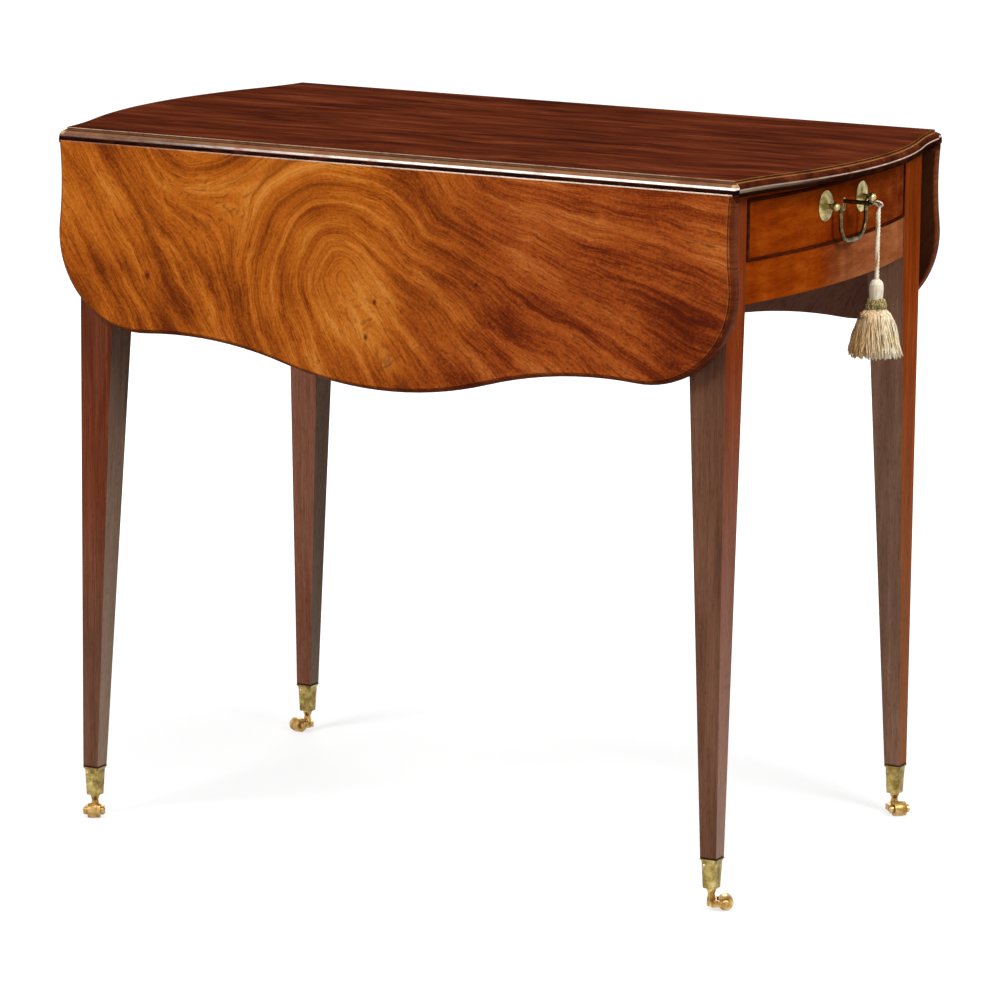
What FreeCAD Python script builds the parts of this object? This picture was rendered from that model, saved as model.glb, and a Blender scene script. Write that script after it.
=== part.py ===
"""A serpentine drop-leaf side table with one drawer, on four tapered legs with brass castors.

The frame stands on the floor: +Z is up, +X points out of the drawer end and the two leaves hang at
the -Y (front) and +Y (back) sides. The origin is on the floor, at the middle of the table.
"""

import FreeCAD
import Part
import math
import os

Vector = FreeCAD.Vector
UP = Vector(0, 0, 1)
ALONG = Vector(1, 0, 0)
ACROSS = Vector(0, 1, 0)
ORIGIN = Vector(0, 0, 0)

# Driving dimensions of the whole table, in millimetres
table_height = 720.0
board_thickness = 16.0
hinge_half_span = 233.5
overrun = 5.0
seat_clearance = 0.1
running_clearance = 0.3
pin_clearance = 0.05

# Plan of the serpentine ends and of the leaves
end_peak_half = 419.0
end_swell = 40.0
waist_depth = 40.0
end_bow_share = 0.6
corner_swell = 3.2
corner_radius = 96.0
shoulder_dip = 2.0
shoulder_hollow_share = 0.5207
lobe_depth = 224.0

# Moulded edge of the top and the leaves
edge_set_in = 5.0
edge_fillet_height = 2.2
edge_step = 1.2
edge_ovolo_height = 6.5
edge_under_round = 2.5

# Rule joint and its hinges
rule_fillet = 3.0
rule_radius = 9.0
rule_clearance = 0.35
flap_thickness = 2.0
flap_length = 50.0
fixed_flap_reach = 32.0
leaf_flap_reach = 46.0
hinge_wire_radius = 1.5
hinge_end_distance = 250.0
knuckle_share = 0.5
knuckle_end_gap = 0.2

# Legs
end_overhang = 53.0
leg_set_in = 8.0
leg_top_width = 41.0
leg_ankle_width = 17.4
frieze_height = 110.0

# Rails and their tenons
fly_set_back = 2.0
fly_thickness = 18.0
side_rail_thickness = 16.0
tenon_thickness = 8.0
tenon_length = 18.0
tenon_shoulder = 12.0
end_set_back = 0.8
end_bow = 18.0
end_rail_thickness = 20.0
apron_height = 41.0
top_rail_thickness = 8.0
top_rail_width = 30.0
dovetail_length = 12.0
dovetail_wide = 22.0
dovetail_narrow = 16.0

# Fly brackets on their wooden knuckle joints
fly_top_gap = 1.0
knuckle_axis_x = 110.0
bracket_length = 260.0
bracket_tip_height = 52.0
bracket_sweep_run = 90.0
bracket_gap = 0.8
fly_finger_count = 5
fly_pin_radius = 2.5

# Drawer and what it runs on
drawer_side_gap = 1.0
drawer_length = 430.0
drawer_board = 8.0
drawer_front_inset = 17.0
drawer_side_drop = 6.0
drawer_bottom_thickness = 6.0
drawer_bottom_raise = 6.0
groove_depth = 4.0
tail_length = 11.0
tail_count = 3
tail_root_share = 0.5
tail_tip_share = 0.72
runner_thickness = 12.0
runner_width = 21.0
runner_overhang = 40.0
kicker_gap = 2.0

# Cock bead round the drawer and round the sham drawer
bead_width = 3.0
bead_depth = 5.0
bead_proud = 1.6

# Swan-neck handles
handle_drop = 21.7
handle_half_span = 42.0
rosette_radius = 15.3
rosette_rim = 0.8
rosette_dome = 2.6
post_stem_radius = 2.8
post_ball_radius = 4.6
post_reach = 11.0
bail_wire_radius = 2.0
bail_half_width = 29.5
bail_drop = 37.0
bail_bend_radius = 6.0
bail_corner_radius = 20.0
bail_grip_radius = 2.9
bail_pin_gap = 0.4

# Lock, key and keyhole
lock_width = 50.0
lock_height = 36.0
lock_depth = 10.0
lock_wall = 1.5
bolt_width = 16.0
bolt_depth = 5.0
bolt_throw = 6.0
bolt_mortise_depth = 6.6
key_shank_radius = 2.2
key_bit_reach = 6.0
key_bit_thickness = 2.0
key_bit_length = 3.5
key_collar_radius = 3.2
key_collar_length = 2.5
key_projection = 37.0
key_bow_radius = 5.0
key_bow_wire = 1.1
keyhole_slot_width = 2.8
keyhole_slot_drop = 8.0
liner_wall = 1.2
liner_depth = 4.0

# Tassel on the key
loop_radius = 4.2
loop_wire = 0.9
loop_neck_drop = 8.5
cord_radius = 2.4
cord_drop = 75.0
head_radius = 7.2
head_height = 20.0
ruff_radius = 10.5
ruff_height = 9.0
skirt_top_radius = 9.0
skirt_radius = 28.0
skirt_height = 48.0
head_foot_share = 0.86
head_belly_share = 0.6
head_shoulder_share = 0.66
ruff_waist_share = 0.72
skirt_knee_share = 0.55
skirt_knee_radius_share = 0.66

# Castors
wheel_radius = 7.8
wheel_edge_radius = 7.2
wheel_width = 13.0
axle_radius = 2.0
castor_trail = 14.0
cheek_gap = 0.4
arm_thickness = 3.0
arm_half_height = 3.2
boss_radius = 4.2
boss_proud = 1.5
crown_clearance = 0.9
crown_reach = 4.2
neck_height = 11.0
neck_foot_radius = 4.4
neck_waist_radius = 3.3
neck_waist_share = 0.45
neck_bead_radius = 4.8
neck_bead_height = 1.6
swivel_radius = 3.0
swivel_seat_gap = 0.3
swivel_stem_height = 9.0
cup_rim_height = 52.0
cup_bottom_width = 14.2
cup_neck_width = 16.4
cup_lip_width = 19.4
cup_lip_height = 3.0
cup_floor = 3.0
cup_wall = 1.1
cup_chamfer = 2.0
cup_lip_chamfer = 0.8
toe_chamfer = 1.2
castor_rest_turns = {"front_right": 28.7, "front_left": -61.3, "back_left": -106.3, "back_right": -44.6}
corners = {"front_right": (1, -1), "front_left": (-1, -1), "back_left": (-1, 1), "back_right": (1, 1)}

# Heights and faces that follow from the sizes above
top_underside = table_height - board_thickness
hinge_drop = rule_fillet + rule_radius
hinge_height = table_height - hinge_drop
knuckle_radius = board_thickness - hinge_drop
frieze_bottom = top_underside - frieze_height
apron_top = frieze_bottom + apron_height
top_rail_bottom = top_underside - top_rail_thickness
leg_outer_x = end_peak_half - end_overhang
leg_outer_y = hinge_half_span - leg_set_in
leg_inner_x = leg_outer_x - leg_top_width
leg_inner_y = leg_outer_y - leg_top_width
fly_outer = leg_outer_y - fly_set_back
fly_inner = fly_outer - fly_thickness
side_rail_inner = fly_inner - side_rail_thickness
end_face = leg_outer_x - end_set_back
end_peak = end_face + end_bow
end_bow_radius = (leg_inner_y ** 2 + end_bow ** 2) / (2 * end_bow)
drawer_half_width = leg_inner_y - drawer_side_gap
drawer_floor = apron_top + running_clearance
drawer_ceiling = top_rail_bottom - running_clearance
drawer_inner_face = end_face - drawer_front_inset
drawer_rear = drawer_inner_face - drawer_length
drawer_side_top = drawer_ceiling - drawer_side_drop
handle_height = drawer_ceiling - handle_drop


def block(x_span, y_span, z_span):
    """A box between two limits along each axis."""
    corner = Vector(min(x_span), min(y_span), min(z_span))
    return Part.makeBox(
        abs(x_span[1] - x_span[0]), abs(y_span[1] - y_span[0]), abs(z_span[1] - z_span[0]), corner
    )


def arc_about(centre, start, end):
    """The shorter arc from start to end on a circle about centre."""
    radius = (start - centre).Length
    middle = (start - centre) + (end - centre)
    middle.normalize()
    return Part.Arc(start, centre + middle * radius, end).toShape()


def line(start, end):
    return Part.LineSegment(start, end).toShape()


def polygon(points):
    return Part.makePolygon(points + [points[0]])


def prism(wire, travel):
    """The solid that a closed flat wire leaves when it is moved along travel."""
    return Part.Face(wire).extrude(travel)


def turned(profile, foot, axis):
    """A turned solid from (radius, height) points, about axis through foot."""
    points = [Vector(radius, 0, height) for radius, height in profile]
    solid = Part.Face(polygon(points)).revolve(ORIGIN, UP, 360)
    solid.Placement = FreeCAD.Placement(foot, FreeCAD.Rotation(UP, axis))
    return solid


def rod(start, end, radius):
    return Part.makeCylinder(radius, (end - start).Length, start, end - start)


def half_turn(shape):
    """The same piece at the other side and the other end of the table."""
    copy = shape.copy()
    copy.rotate(ORIGIN, UP, 180)
    return copy


def mirrored_in_y(shape):
    return shape.mirror(ORIGIN, ACROSS)


def square(centre_x, centre_y, height, width):
    half = width / 2
    return polygon(
        [
            Vector(centre_x - half, centre_y - half, height),
            Vector(centre_x + half, centre_y - half, height),
            Vector(centre_x + half, centre_y + half, height),
            Vector(centre_x - half, centre_y + half, height),
        ]
    )


def chamfered_square(centre_x, centre_y, height, width, chamfer):
    """A level square with its corners cut off."""
    half = width / 2
    short = half - chamfer
    corners_round = [
        (short, -half),
        (half, -short),
        (half, short),
        (short, half),
        (-short, half),
        (-half, short),
        (-half, -short),
        (-short, -half),
    ]
    return polygon([Vector(centre_x + x, centre_y + y, height) for x, y in corners_round])


# Serpentine plan: arcs that meet on the lines between their centres
serpentine_depth = hinge_half_span + waist_depth
waist_half = end_peak_half - end_swell
end_radius_sum = (serpentine_depth ** 2 + end_swell ** 2) / (2 * end_swell)
end_convex_radius = end_bow_share * end_radius_sum
end_hollow_radius = end_radius_sum - end_convex_radius
end_convex_centre = Vector(end_peak_half - end_convex_radius, 0, 0)
end_hollow_centre = Vector(waist_half + end_hollow_radius, serpentine_depth, 0)
leaf_half = waist_half + corner_swell
corner_run = math.sqrt(2 * corner_swell * (end_hollow_radius + corner_radius) - corner_swell ** 2)
corner_centre = Vector(leaf_half - corner_radius, serpentine_depth + corner_run, 0)
shoulder_depth = waist_depth + corner_run + corner_radius
hollow_depth = shoulder_depth - shoulder_dip
lobe_swell = lobe_depth - hollow_depth
# The hollow and the lobe divide the run from the corner to the middle, so the hollow's place is a root
dip_share = 1 - shoulder_dip * shoulder_hollow_share / lobe_swell
dip_area = shoulder_dip * (2 * corner_radius - shoulder_dip + shoulder_hollow_share * lobe_swell)
hollow_root = math.sqrt(corner_centre.x ** 2 - dip_share * (corner_centre.x ** 2 - dip_area))
hollow_x = (corner_centre.x - hollow_root) / dip_share
lobe_radius_sum = (hollow_x ** 2 + lobe_swell ** 2) / (2 * lobe_swell)
shoulder_hollow_radius = shoulder_hollow_share * lobe_radius_sum
lobe_radius = lobe_radius_sum - shoulder_hollow_radius
shoulder_centre = Vector(hollow_x, hinge_half_span + hollow_depth + shoulder_hollow_radius, 0)
lobe_centre = Vector(0, hinge_half_span + lobe_depth - lobe_radius, 0)


def meeting(first_centre, first_radius, second_centre, second_radius):
    """The point where two arcs that touch pass into each other."""
    return first_centre + (second_centre - first_centre) * (first_radius / (first_radius + second_radius))


def hollow_point(depth):
    """The point of the end's hollow arc at a distance from the table's middle line."""
    reach = math.sqrt(end_hollow_radius ** 2 - (depth - serpentine_depth) ** 2)
    return Vector(end_hollow_centre.x - reach, depth, 0)


def flip_y(point):
    return Vector(point.x, -point.y, point.z)


def flip_x(point):
    return Vector(-point.x, point.y, point.z)


def end_edges(depth):
    """The drawer end's serpentine edge, from +depth to -depth across the table."""
    turn = meeting(end_convex_centre, end_convex_radius, end_hollow_centre, end_hollow_radius)
    return [
        arc_about(end_hollow_centre, hollow_point(depth), turn),
        arc_about(end_convex_centre, turn, flip_y(turn)),
        arc_about(flip_y(end_hollow_centre), flip_y(turn), flip_y(hollow_point(depth))),
    ]


def leaf_edges(depth):
    """The free edge of the back leaf laid flat, from the drawer end round to the other end."""
    waist_turn = meeting(end_hollow_centre, end_hollow_radius, corner_centre, corner_radius)
    shoulder_turn = meeting(corner_centre, corner_radius, shoulder_centre, shoulder_hollow_radius)
    lobe_turn = meeting(shoulder_centre, shoulder_hollow_radius, lobe_centre, lobe_radius)
    return [
        arc_about(end_hollow_centre, hollow_point(depth), waist_turn),
        arc_about(corner_centre, waist_turn, shoulder_turn),
        arc_about(shoulder_centre, shoulder_turn, lobe_turn),
        arc_about(lobe_centre, lobe_turn, flip_x(lobe_turn)),
        arc_about(flip_x(shoulder_centre), flip_x(lobe_turn), flip_x(shoulder_turn)),
        arc_about(flip_x(corner_centre), flip_x(shoulder_turn), flip_x(waist_turn)),
        arc_about(flip_x(end_hollow_centre), flip_x(waist_turn), flip_x(hollow_point(depth))),
    ]


def swept(profile_wire, edges):
    """A solid that a profile leaves along a flat path, kept upright all the way."""
    shell = Part.BRepOffsetAPI.MakePipeShell(Part.Wire(edges))
    shell.setBiNormalMode(UP)
    shell.add(profile_wire)
    shell.build()
    shell.makeSolid()
    return Part.Solid(shell.shape())


def moulding_cutters(edges, start):
    """What the moulding plane takes off an edge: the moulded face above and the round below."""
    outward = end_hollow_centre - start
    outward.normalize()

    def at(offset, height):
        return start + outward * offset + UP * (top_underside + height)

    quirk = board_thickness - edge_fillet_height
    spring = quirk - edge_ovolo_height
    ovolo_reach = edge_set_in - edge_step
    ovolo_middle = at(
        -ovolo_reach + ovolo_reach * math.sin(math.pi / 4),
        spring + edge_ovolo_height * math.cos(math.pi / 4),
    )
    face = Part.Wire(
        [
            line(at(-edge_set_in, board_thickness + overrun), at(-edge_set_in, quirk)),
            line(at(-edge_set_in, quirk), at(-ovolo_reach, quirk)),
            Part.Arc(at(-ovolo_reach, quirk), ovolo_middle, at(0, spring)).toShape(),
            line(at(0, spring), at(overrun, spring)),
            line(at(overrun, spring), at(overrun, board_thickness + overrun)),
            line(at(overrun, board_thickness + overrun), at(-edge_set_in, board_thickness + overrun)),
        ]
    )
    round_centre = at(-edge_under_round, edge_under_round)
    under = Part.Wire(
        [
            line(at(overrun, -overrun), at(overrun, edge_under_round)),
            line(at(overrun, edge_under_round), at(0, edge_under_round)),
            arc_about(round_centre, at(0, edge_under_round), at(-edge_under_round, 0)),
            line(at(-edge_under_round, 0), at(-edge_under_round, -overrun)),
            line(at(-edge_under_round, -overrun), at(overrun, -overrun)),
        ]
    )
    return [swept(face, edges), swept(under, edges)]


def hinge_places():
    return [-hinge_end_distance, 0, hinge_end_distance]


def on_axis(out, height):
    """A point of the back rule joint's section, from the hinge pin's middle."""
    return Vector(0, hinge_half_span + out, hinge_height + height)


def along_table(section_wire, half_length):
    """A rule-joint section drawn out both ways along the table."""
    moved = section_wire.copy()
    moved.translate(ALONG * -half_length)
    return prism(moved, ALONG * (2 * half_length))


def rule_edge_cutter():
    """What is planed off the top's long edge to leave the fillet and the round of the rule joint."""
    foot_out = math.sqrt(rule_radius ** 2 - knuckle_radius ** 2)
    nose = on_axis(rule_radius, 0)
    foot = on_axis(foot_out, -knuckle_radius)
    centre = on_axis(0, 0)
    outer_low = on_axis(rule_radius + overrun, -knuckle_radius - overrun)
    outer_high = on_axis(rule_radius + overrun, hinge_drop + overrun)
    section = Part.Wire(
        [
            line(on_axis(0, hinge_drop + overrun), on_axis(0, rule_radius)),
            arc_about(centre, on_axis(0, rule_radius), nose),
            arc_about(centre, nose, foot),
            line(foot, on_axis(foot_out, -knuckle_radius - overrun)),
            line(on_axis(foot_out, -knuckle_radius - overrun), outer_low),
            line(outer_low, outer_high),
            line(outer_high, on_axis(0, hinge_drop + overrun)),
        ]
    )
    return along_table(section, end_peak_half)


def leaf_cove_cutter():
    """What is planed off the leaf's inner edge to leave the hollow of the rule joint."""
    cove = rule_radius + rule_clearance
    shoulder = math.sqrt(cove ** 2 - rule_clearance ** 2)
    section = Part.Wire(
        [
            line(on_axis(rule_clearance, hinge_drop + overrun), on_axis(rule_clearance, shoulder)),
            arc_about(on_axis(0, 0), on_axis(rule_clearance, shoulder), on_axis(cove, 0)),
            line(on_axis(cove, 0), on_axis(cove, -knuckle_radius - overrun)),
            line(on_axis(cove, -knuckle_radius - overrun), on_axis(-overrun, -knuckle_radius - overrun)),
            line(on_axis(-overrun, -knuckle_radius - overrun), on_axis(-overrun, hinge_drop + overrun)),
            line(on_axis(-overrun, hinge_drop + overrun), on_axis(rule_clearance, hinge_drop + overrun)),
        ]
    )
    return along_table(section, end_peak_half)


def hinge_knuckles(place, moving):
    """Barrel pieces of one hinge: the middle one is the leaf's, the outer two are the top's."""
    middle_half = flap_length * knuckle_share / 2
    if moving:
        spans = [(-middle_half + knuckle_end_gap, middle_half - knuckle_end_gap)]
    else:
        spans = [(-flap_length / 2, -middle_half), (middle_half, flap_length / 2)]
    centre = on_axis(0, 0) + ALONG * place
    return [rod(centre + ALONG * low, centre + ALONG * high, knuckle_radius) for low, high in spans]


def hinge_flap(place, moving):
    """One hinge flap, let in flush with the boards' undersides, with its barrel pieces."""
    side = 1 if moving else -1
    reach = leaf_flap_reach if moving else fixed_flap_reach
    centre = on_axis(0, 0) + ALONG * place
    plate_z = (hinge_height - knuckle_radius, hinge_height - knuckle_radius + flap_thickness)
    plate_x = (place - flap_length / 2, place + flap_length / 2)
    clear = knuckle_radius + seat_clearance
    plate = block(plate_x, (hinge_half_span, hinge_half_span + side * reach), plate_z)
    middle_half = flap_length * knuckle_share / 2
    notch_y = (hinge_half_span - clear, hinge_half_span + clear)
    if moving:
        notches = [
            block((plate_x[0] - overrun, place - middle_half + knuckle_end_gap), notch_y, plate_z),
            block((place + middle_half - knuckle_end_gap, plate_x[1] + overrun), notch_y, plate_z),
        ]
    else:
        notches = [block((place - middle_half, place + middle_half), notch_y, plate_z)]
    for notch in notches:
        plate = plate.cut(notch)
    flap = plate.multiFuse(hinge_knuckles(place, moving)).removeSplitter()
    bore = rod(
        centre - ALONG * flap_length,
        centre + ALONG * flap_length,
        hinge_wire_radius + pin_clearance,
    )
    return flap.cut(bore)


def fixed_flap_recess(place):
    """Room in the top for a barrel, the fixed flap, and the leaf's flap when the leaf is up."""
    clear_x = (place - flap_length / 2 - seat_clearance, place + flap_length / 2 + seat_clearance)
    low = hinge_height - knuckle_radius - overrun
    flap_top = hinge_height - knuckle_radius + flap_thickness
    start = on_axis(0, 0) + ALONG * clear_x[0]
    end = on_axis(0, 0) + ALONG * clear_x[1]
    barrel = rod(start, end, knuckle_radius + running_clearance)
    throat_half = knuckle_radius + running_clearance
    throat_y = (hinge_half_span - throat_half, hinge_half_span + throat_half)
    throat = block(clear_x, throat_y, (low, hinge_height))
    inner = hinge_half_span - fixed_flap_reach - seat_clearance
    fixed = block(clear_x, (inner, hinge_half_span), (low, flap_top))
    outer = hinge_half_span + rule_radius + overrun
    raised = block(clear_x, (hinge_half_span, outer), (low, flap_top + running_clearance))
    return barrel.multiFuse([throat, fixed, raised])


def make_table_top():
    """The fixed middle board, with moulded ends and a rule joint along each side."""
    nose = hinge_half_span + rule_radius
    right = end_edges(nose)
    left = [half_turn(edge) for edge in end_edges(nose)]
    far_right = hollow_point(nose)
    far_left = flip_x(far_right)
    outline = Part.Wire(
        right + [line(flip_y(far_right), flip_y(far_left))] + left + [line(far_left, far_right)]
    )
    board = prism(outline, UP * board_thickness)
    board.translate(UP * top_underside)
    path_reach = nose + overrun
    cutters = moulding_cutters(end_edges(path_reach), hollow_point(path_reach))
    cutters = cutters + [half_turn(cutter) for cutter in cutters]
    rule = rule_edge_cutter()
    recesses = [fixed_flap_recess(place) for place in hinge_places()]
    side_cuts = [rule] + recesses
    cutters = cutters + side_cuts + [half_turn(cut) for cut in side_cuts]
    return board.cut(cutters)


def make_flat_leaf():
    """The back leaf as it lies when it is up, with its cove and its moulded free edge."""
    edges = leaf_edges(hinge_half_span)
    start = hollow_point(hinge_half_span)
    outline = Part.Wire(edges + [line(flip_x(start), start)])
    board = prism(outline, UP * board_thickness)
    board.translate(UP * top_underside)
    path_depth = hinge_half_span - overrun
    cutters = moulding_cutters(leaf_edges(path_depth), hollow_point(path_depth))
    cutters.append(leaf_cove_cutter())
    plate_low = hinge_height - knuckle_radius - overrun
    plate_high = hinge_height - knuckle_radius + flap_thickness
    for place in hinge_places():
        clear_x = (place - flap_length / 2 - seat_clearance, place + flap_length / 2 + seat_clearance)
        reach = hinge_half_span + leaf_flap_reach + seat_clearance
        cutters.append(block(clear_x, (hinge_half_span, reach), (plate_low, plate_high)))
    return board.cut(cutters)


def hung(shape):
    """A piece of the back leaf, let down from flat to hanging."""
    copy = shape.copy()
    copy.rotate(on_axis(0, 0), ALONG, -90)
    return copy


def bowed_plan(peak, inner):
    """Plan of a bowed end piece between the legs, from its bowed face to a flat inner face."""
    edge_half = leg_inner_y
    face = peak - end_bow
    bow = Part.Arc(Vector(face, -edge_half, 0), Vector(peak, 0, 0), Vector(face, edge_half, 0)).toShape()
    return Part.Wire(
        [
            bow,
            line(Vector(face, edge_half, 0), Vector(inner, edge_half, 0)),
            line(Vector(inner, edge_half, 0), Vector(inner, -edge_half, 0)),
            line(Vector(inner, -edge_half, 0), Vector(face, -edge_half, 0)),
        ]
    )


def bowed_piece(z_span, inner, offset=0.0):
    """A bowed piece of the drawer end; offset moves its face out, for what stands proud of it."""
    piece = prism(bowed_plan(end_peak + offset, inner), UP * (z_span[1] - z_span[0]))
    piece.translate(UP * z_span[0])
    return piece


# Tenons: the same solids, a little fuller, cut their mortises in the legs
end_rail_inner = end_face - end_rail_thickness
end_tenon_x = (end_rail_inner, end_rail_inner + tenon_thickness)


def side_tenon(fullness):
    """Tenon of the front side rail in the front right leg."""
    middle = -(fly_inner + side_rail_inner) / 2
    half = tenon_thickness / 2 + fullness
    return block(
        (leg_inner_x, leg_inner_x + tenon_length + fullness),
        (middle - half, middle + half),
        (frieze_bottom + tenon_shoulder - fullness, top_underside - tenon_shoulder + fullness),
    )


def end_tenon(fullness, z_span):
    """Tenon of a bowed end piece in the front right leg."""
    return block(
        (end_tenon_x[0] - fullness, end_tenon_x[1] + fullness),
        (-leg_inner_y, -leg_inner_y - tenon_length - fullness),
        (z_span[0] + tenon_shoulder - fullness, z_span[1] - tenon_shoulder + fullness),
    )


def top_rail_tail(fullness):
    """Dovetail that laps the drawer's top rail down into the front right leg."""
    middle = end_face - top_rail_width / 2
    narrow = dovetail_narrow / 2 + fullness
    wide = dovetail_wide / 2 + fullness
    tip = -leg_inner_y - dovetail_length - fullness
    low = top_rail_bottom - fullness
    plan = polygon(
        [
            Vector(middle - narrow, -leg_inner_y, low),
            Vector(middle + narrow, -leg_inner_y, low),
            Vector(middle + wide, tip, low),
            Vector(middle - wide, tip, low),
        ]
    )
    return prism(plan, UP * (top_underside - low))


apron_span = (frieze_bottom, apron_top)
frieze_span = (frieze_bottom, top_underside)


def leg_section(side_x, side_y, height, width):
    centre_x = side_x * (leg_outer_x - width / 2)
    centre_y = side_y * (leg_outer_y - width / 2)
    return square(centre_x, centre_y, height, width)


ankle_x = leg_outer_x - leg_ankle_width / 2
ankle_y = leg_outer_y - leg_ankle_width / 2
fork_top = wheel_radius + arm_half_height + neck_height
cup_bottom = fork_top + swivel_seat_gap
cavity_foot_width = cup_bottom_width - 2 * cup_wall
cavity_neck_width = cup_neck_width - 2 * cup_wall
toe_foot_width = cavity_foot_width - 2 * seat_clearance
toe_neck_width = cavity_neck_width - 2 * seat_clearance
toe_bottom = cup_bottom + cup_floor + seat_clearance


def make_leg(side_x, side_y):
    """A leg, square at the frieze, tapered on its two inner faces, with a toe for the castor cup."""
    sections = [
        leg_section(side_x, side_y, top_underside, leg_top_width),
        leg_section(side_x, side_y, frieze_bottom, leg_top_width),
        leg_section(side_x, side_y, cup_rim_height + seat_clearance, leg_ankle_width),
    ]
    x = side_x * ankle_x
    y = side_y * ankle_y
    toe_sections = [
        chamfered_square(x, y, toe_bottom, toe_foot_width, toe_chamfer),
        chamfered_square(x, y, cup_rim_height - cup_lip_height, toe_neck_width, toe_chamfer),
        chamfered_square(x, y, cup_rim_height + overrun, toe_neck_width, toe_chamfer),
    ]
    toe = Part.makeLoft(toe_sections, True, True)
    leg = Part.makeLoft(sections, True, True).fuse(toe)
    pivot_room = rod(
        Vector(x, y, toe_bottom - overrun),
        Vector(x, y, fork_top + swivel_stem_height + running_clearance),
        swivel_radius + running_clearance,
    )
    mortises = [side_tenon(seat_clearance)]
    if side_x > 0:
        mortises.append(end_tenon(seat_clearance, apron_span))
        mortises.append(top_rail_tail(seat_clearance))
    else:
        mortises.append(end_tenon(seat_clearance, frieze_span))
    if side_x < 0:
        mortises = [mortise.mirror(ORIGIN, ALONG) for mortise in mortises]
    if side_y > 0:
        mortises = [mirrored_in_y(mortise) for mortise in mortises]
    return leg.cut(mortises + [pivot_room])


def both_ends(tenon):
    return [tenon, tenon.mirror(ORIGIN, ALONG)]


def both_sides(tenon):
    return [tenon, mirrored_in_y(tenon)]


def make_side_rail():
    """The front side rail, tenoned between the two front legs."""
    rail = block((-leg_inner_x, leg_inner_x), (-fly_inner, -side_rail_inner), frieze_span)
    return rail.multiFuse(both_ends(side_tenon(0))).removeSplitter()


def make_apron():
    """The bowed rail under the drawer."""
    rail = bowed_piece(apron_span, end_rail_inner)
    return rail.multiFuse(both_sides(end_tenon(0, apron_span))).removeSplitter()


def bolt_mortise():
    """Slot in the drawer's top rail that the lock's bolt shoots into."""
    half = bolt_width / 2 + running_clearance
    return block(
        (bolt_x[0] - running_clearance, bolt_x[1] + running_clearance),
        (-half, half),
        (top_rail_bottom - overrun, top_rail_bottom + bolt_mortise_depth),
    )


def make_top_rail():
    """The thin bowed rail over the drawer, dovetailed into the leg tops."""
    rail = bowed_piece((top_rail_bottom, top_underside), end_face - top_rail_width)
    return rail.multiFuse(both_sides(top_rail_tail(0))).removeSplitter().cut(bolt_mortise())


def bead_strips(fullness):
    """Four mitred strips of cock bead round the drawer's place in the bowed end."""
    low = drawer_floor - fullness
    high = drawer_ceiling + fullness
    half = drawer_half_width + fullness
    inner_low = drawer_floor + bead_width + fullness
    inner_high = drawer_ceiling - bead_width - fullness
    inner_half = drawer_half_width - bead_width - fullness
    outer = [(-half, low), (half, low), (half, high), (-half, high)]
    inner = [(-inner_half, inner_low), (inner_half, inner_low)]
    inner = inner + [(inner_half, inner_high), (-inner_half, inner_high)]
    back = bowed_piece((low, high), end_face - end_bow, -bead_depth)
    band = bowed_piece((low, high), end_face - end_bow, bead_proud).cut(back)
    strips = []
    for index in range(4):
        following = (index + 1) % 4
        corners = [outer[index], outer[following], inner[following], inner[index]]
        trapezium = polygon([Vector(0, across, height) for across, height in corners])
        strips.append(prism(trapezium, ALONG * end_peak_half).common(band))
    return strips


def make_sham_front():
    """The bowed frieze board at the far end, made up as a second drawer."""
    board = bowed_piece(frieze_span, end_rail_inner)
    board = board.multiFuse(both_sides(end_tenon(0, frieze_span))).removeSplitter()
    return half_turn(board.cut(bead_strips(0)))


# Fly brackets: the front bracket hangs on a block by the right leg and closes on a stop block
fly_axis_y = -(fly_outer + fly_inner) / 2
fly_knuckle_radius = fly_thickness / 2
fly_span = (frieze_bottom, top_underside - fly_top_gap)
finger_height = (fly_span[1] - fly_span[0]) / fly_finger_count
bracket_tip_x = knuckle_axis_x - bracket_length


def fly_axis_rod(radius):
    foot = Vector(knuckle_axis_x, fly_axis_y, fly_span[0])
    return rod(foot, foot + UP * (fly_span[1] - fly_span[0]), radius)


def fly_finger_slabs(first, reach, shrink):
    """Slabs round the knuckle at every second finger, thinned by shrink at each cut face."""
    slabs = []
    for index in range(first, fly_finger_count, 2):
        low = fly_span[0] + index * finger_height
        high = low + finger_height
        low = low + (shrink if index > 0 else 0)
        high = high - (shrink if index < fly_finger_count - 1 else 0)
        slabs.append(
            block(
                (knuckle_axis_x - reach, knuckle_axis_x + reach),
                (fly_axis_y - reach, fly_axis_y + reach),
                (low, high),
            )
        )
    return slabs


def knuckled(body, first):
    """A board end worked into the knuckle fingers that start at the given place."""
    gap = running_clearance / 2
    reach = fly_knuckle_radius + running_clearance
    barrel = fly_axis_rod(fly_knuckle_radius)
    clear_room = fly_axis_rod(reach)
    others = fly_finger_slabs(1 - first, reach, -gap)
    rooms = [clear_room.common(slab) for slab in others]
    bore = fly_axis_rod(fly_pin_radius + pin_clearance)
    return body.fuse(barrel).removeSplitter().cut(rooms + [bore])


def make_fly_hinge_block():
    """The fixed part of the front fly rail, glued to the side rail."""
    body = block((knuckle_axis_x, leg_inner_x), (-fly_outer, -fly_inner), fly_span)
    return knuckled(body, 0)


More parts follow.
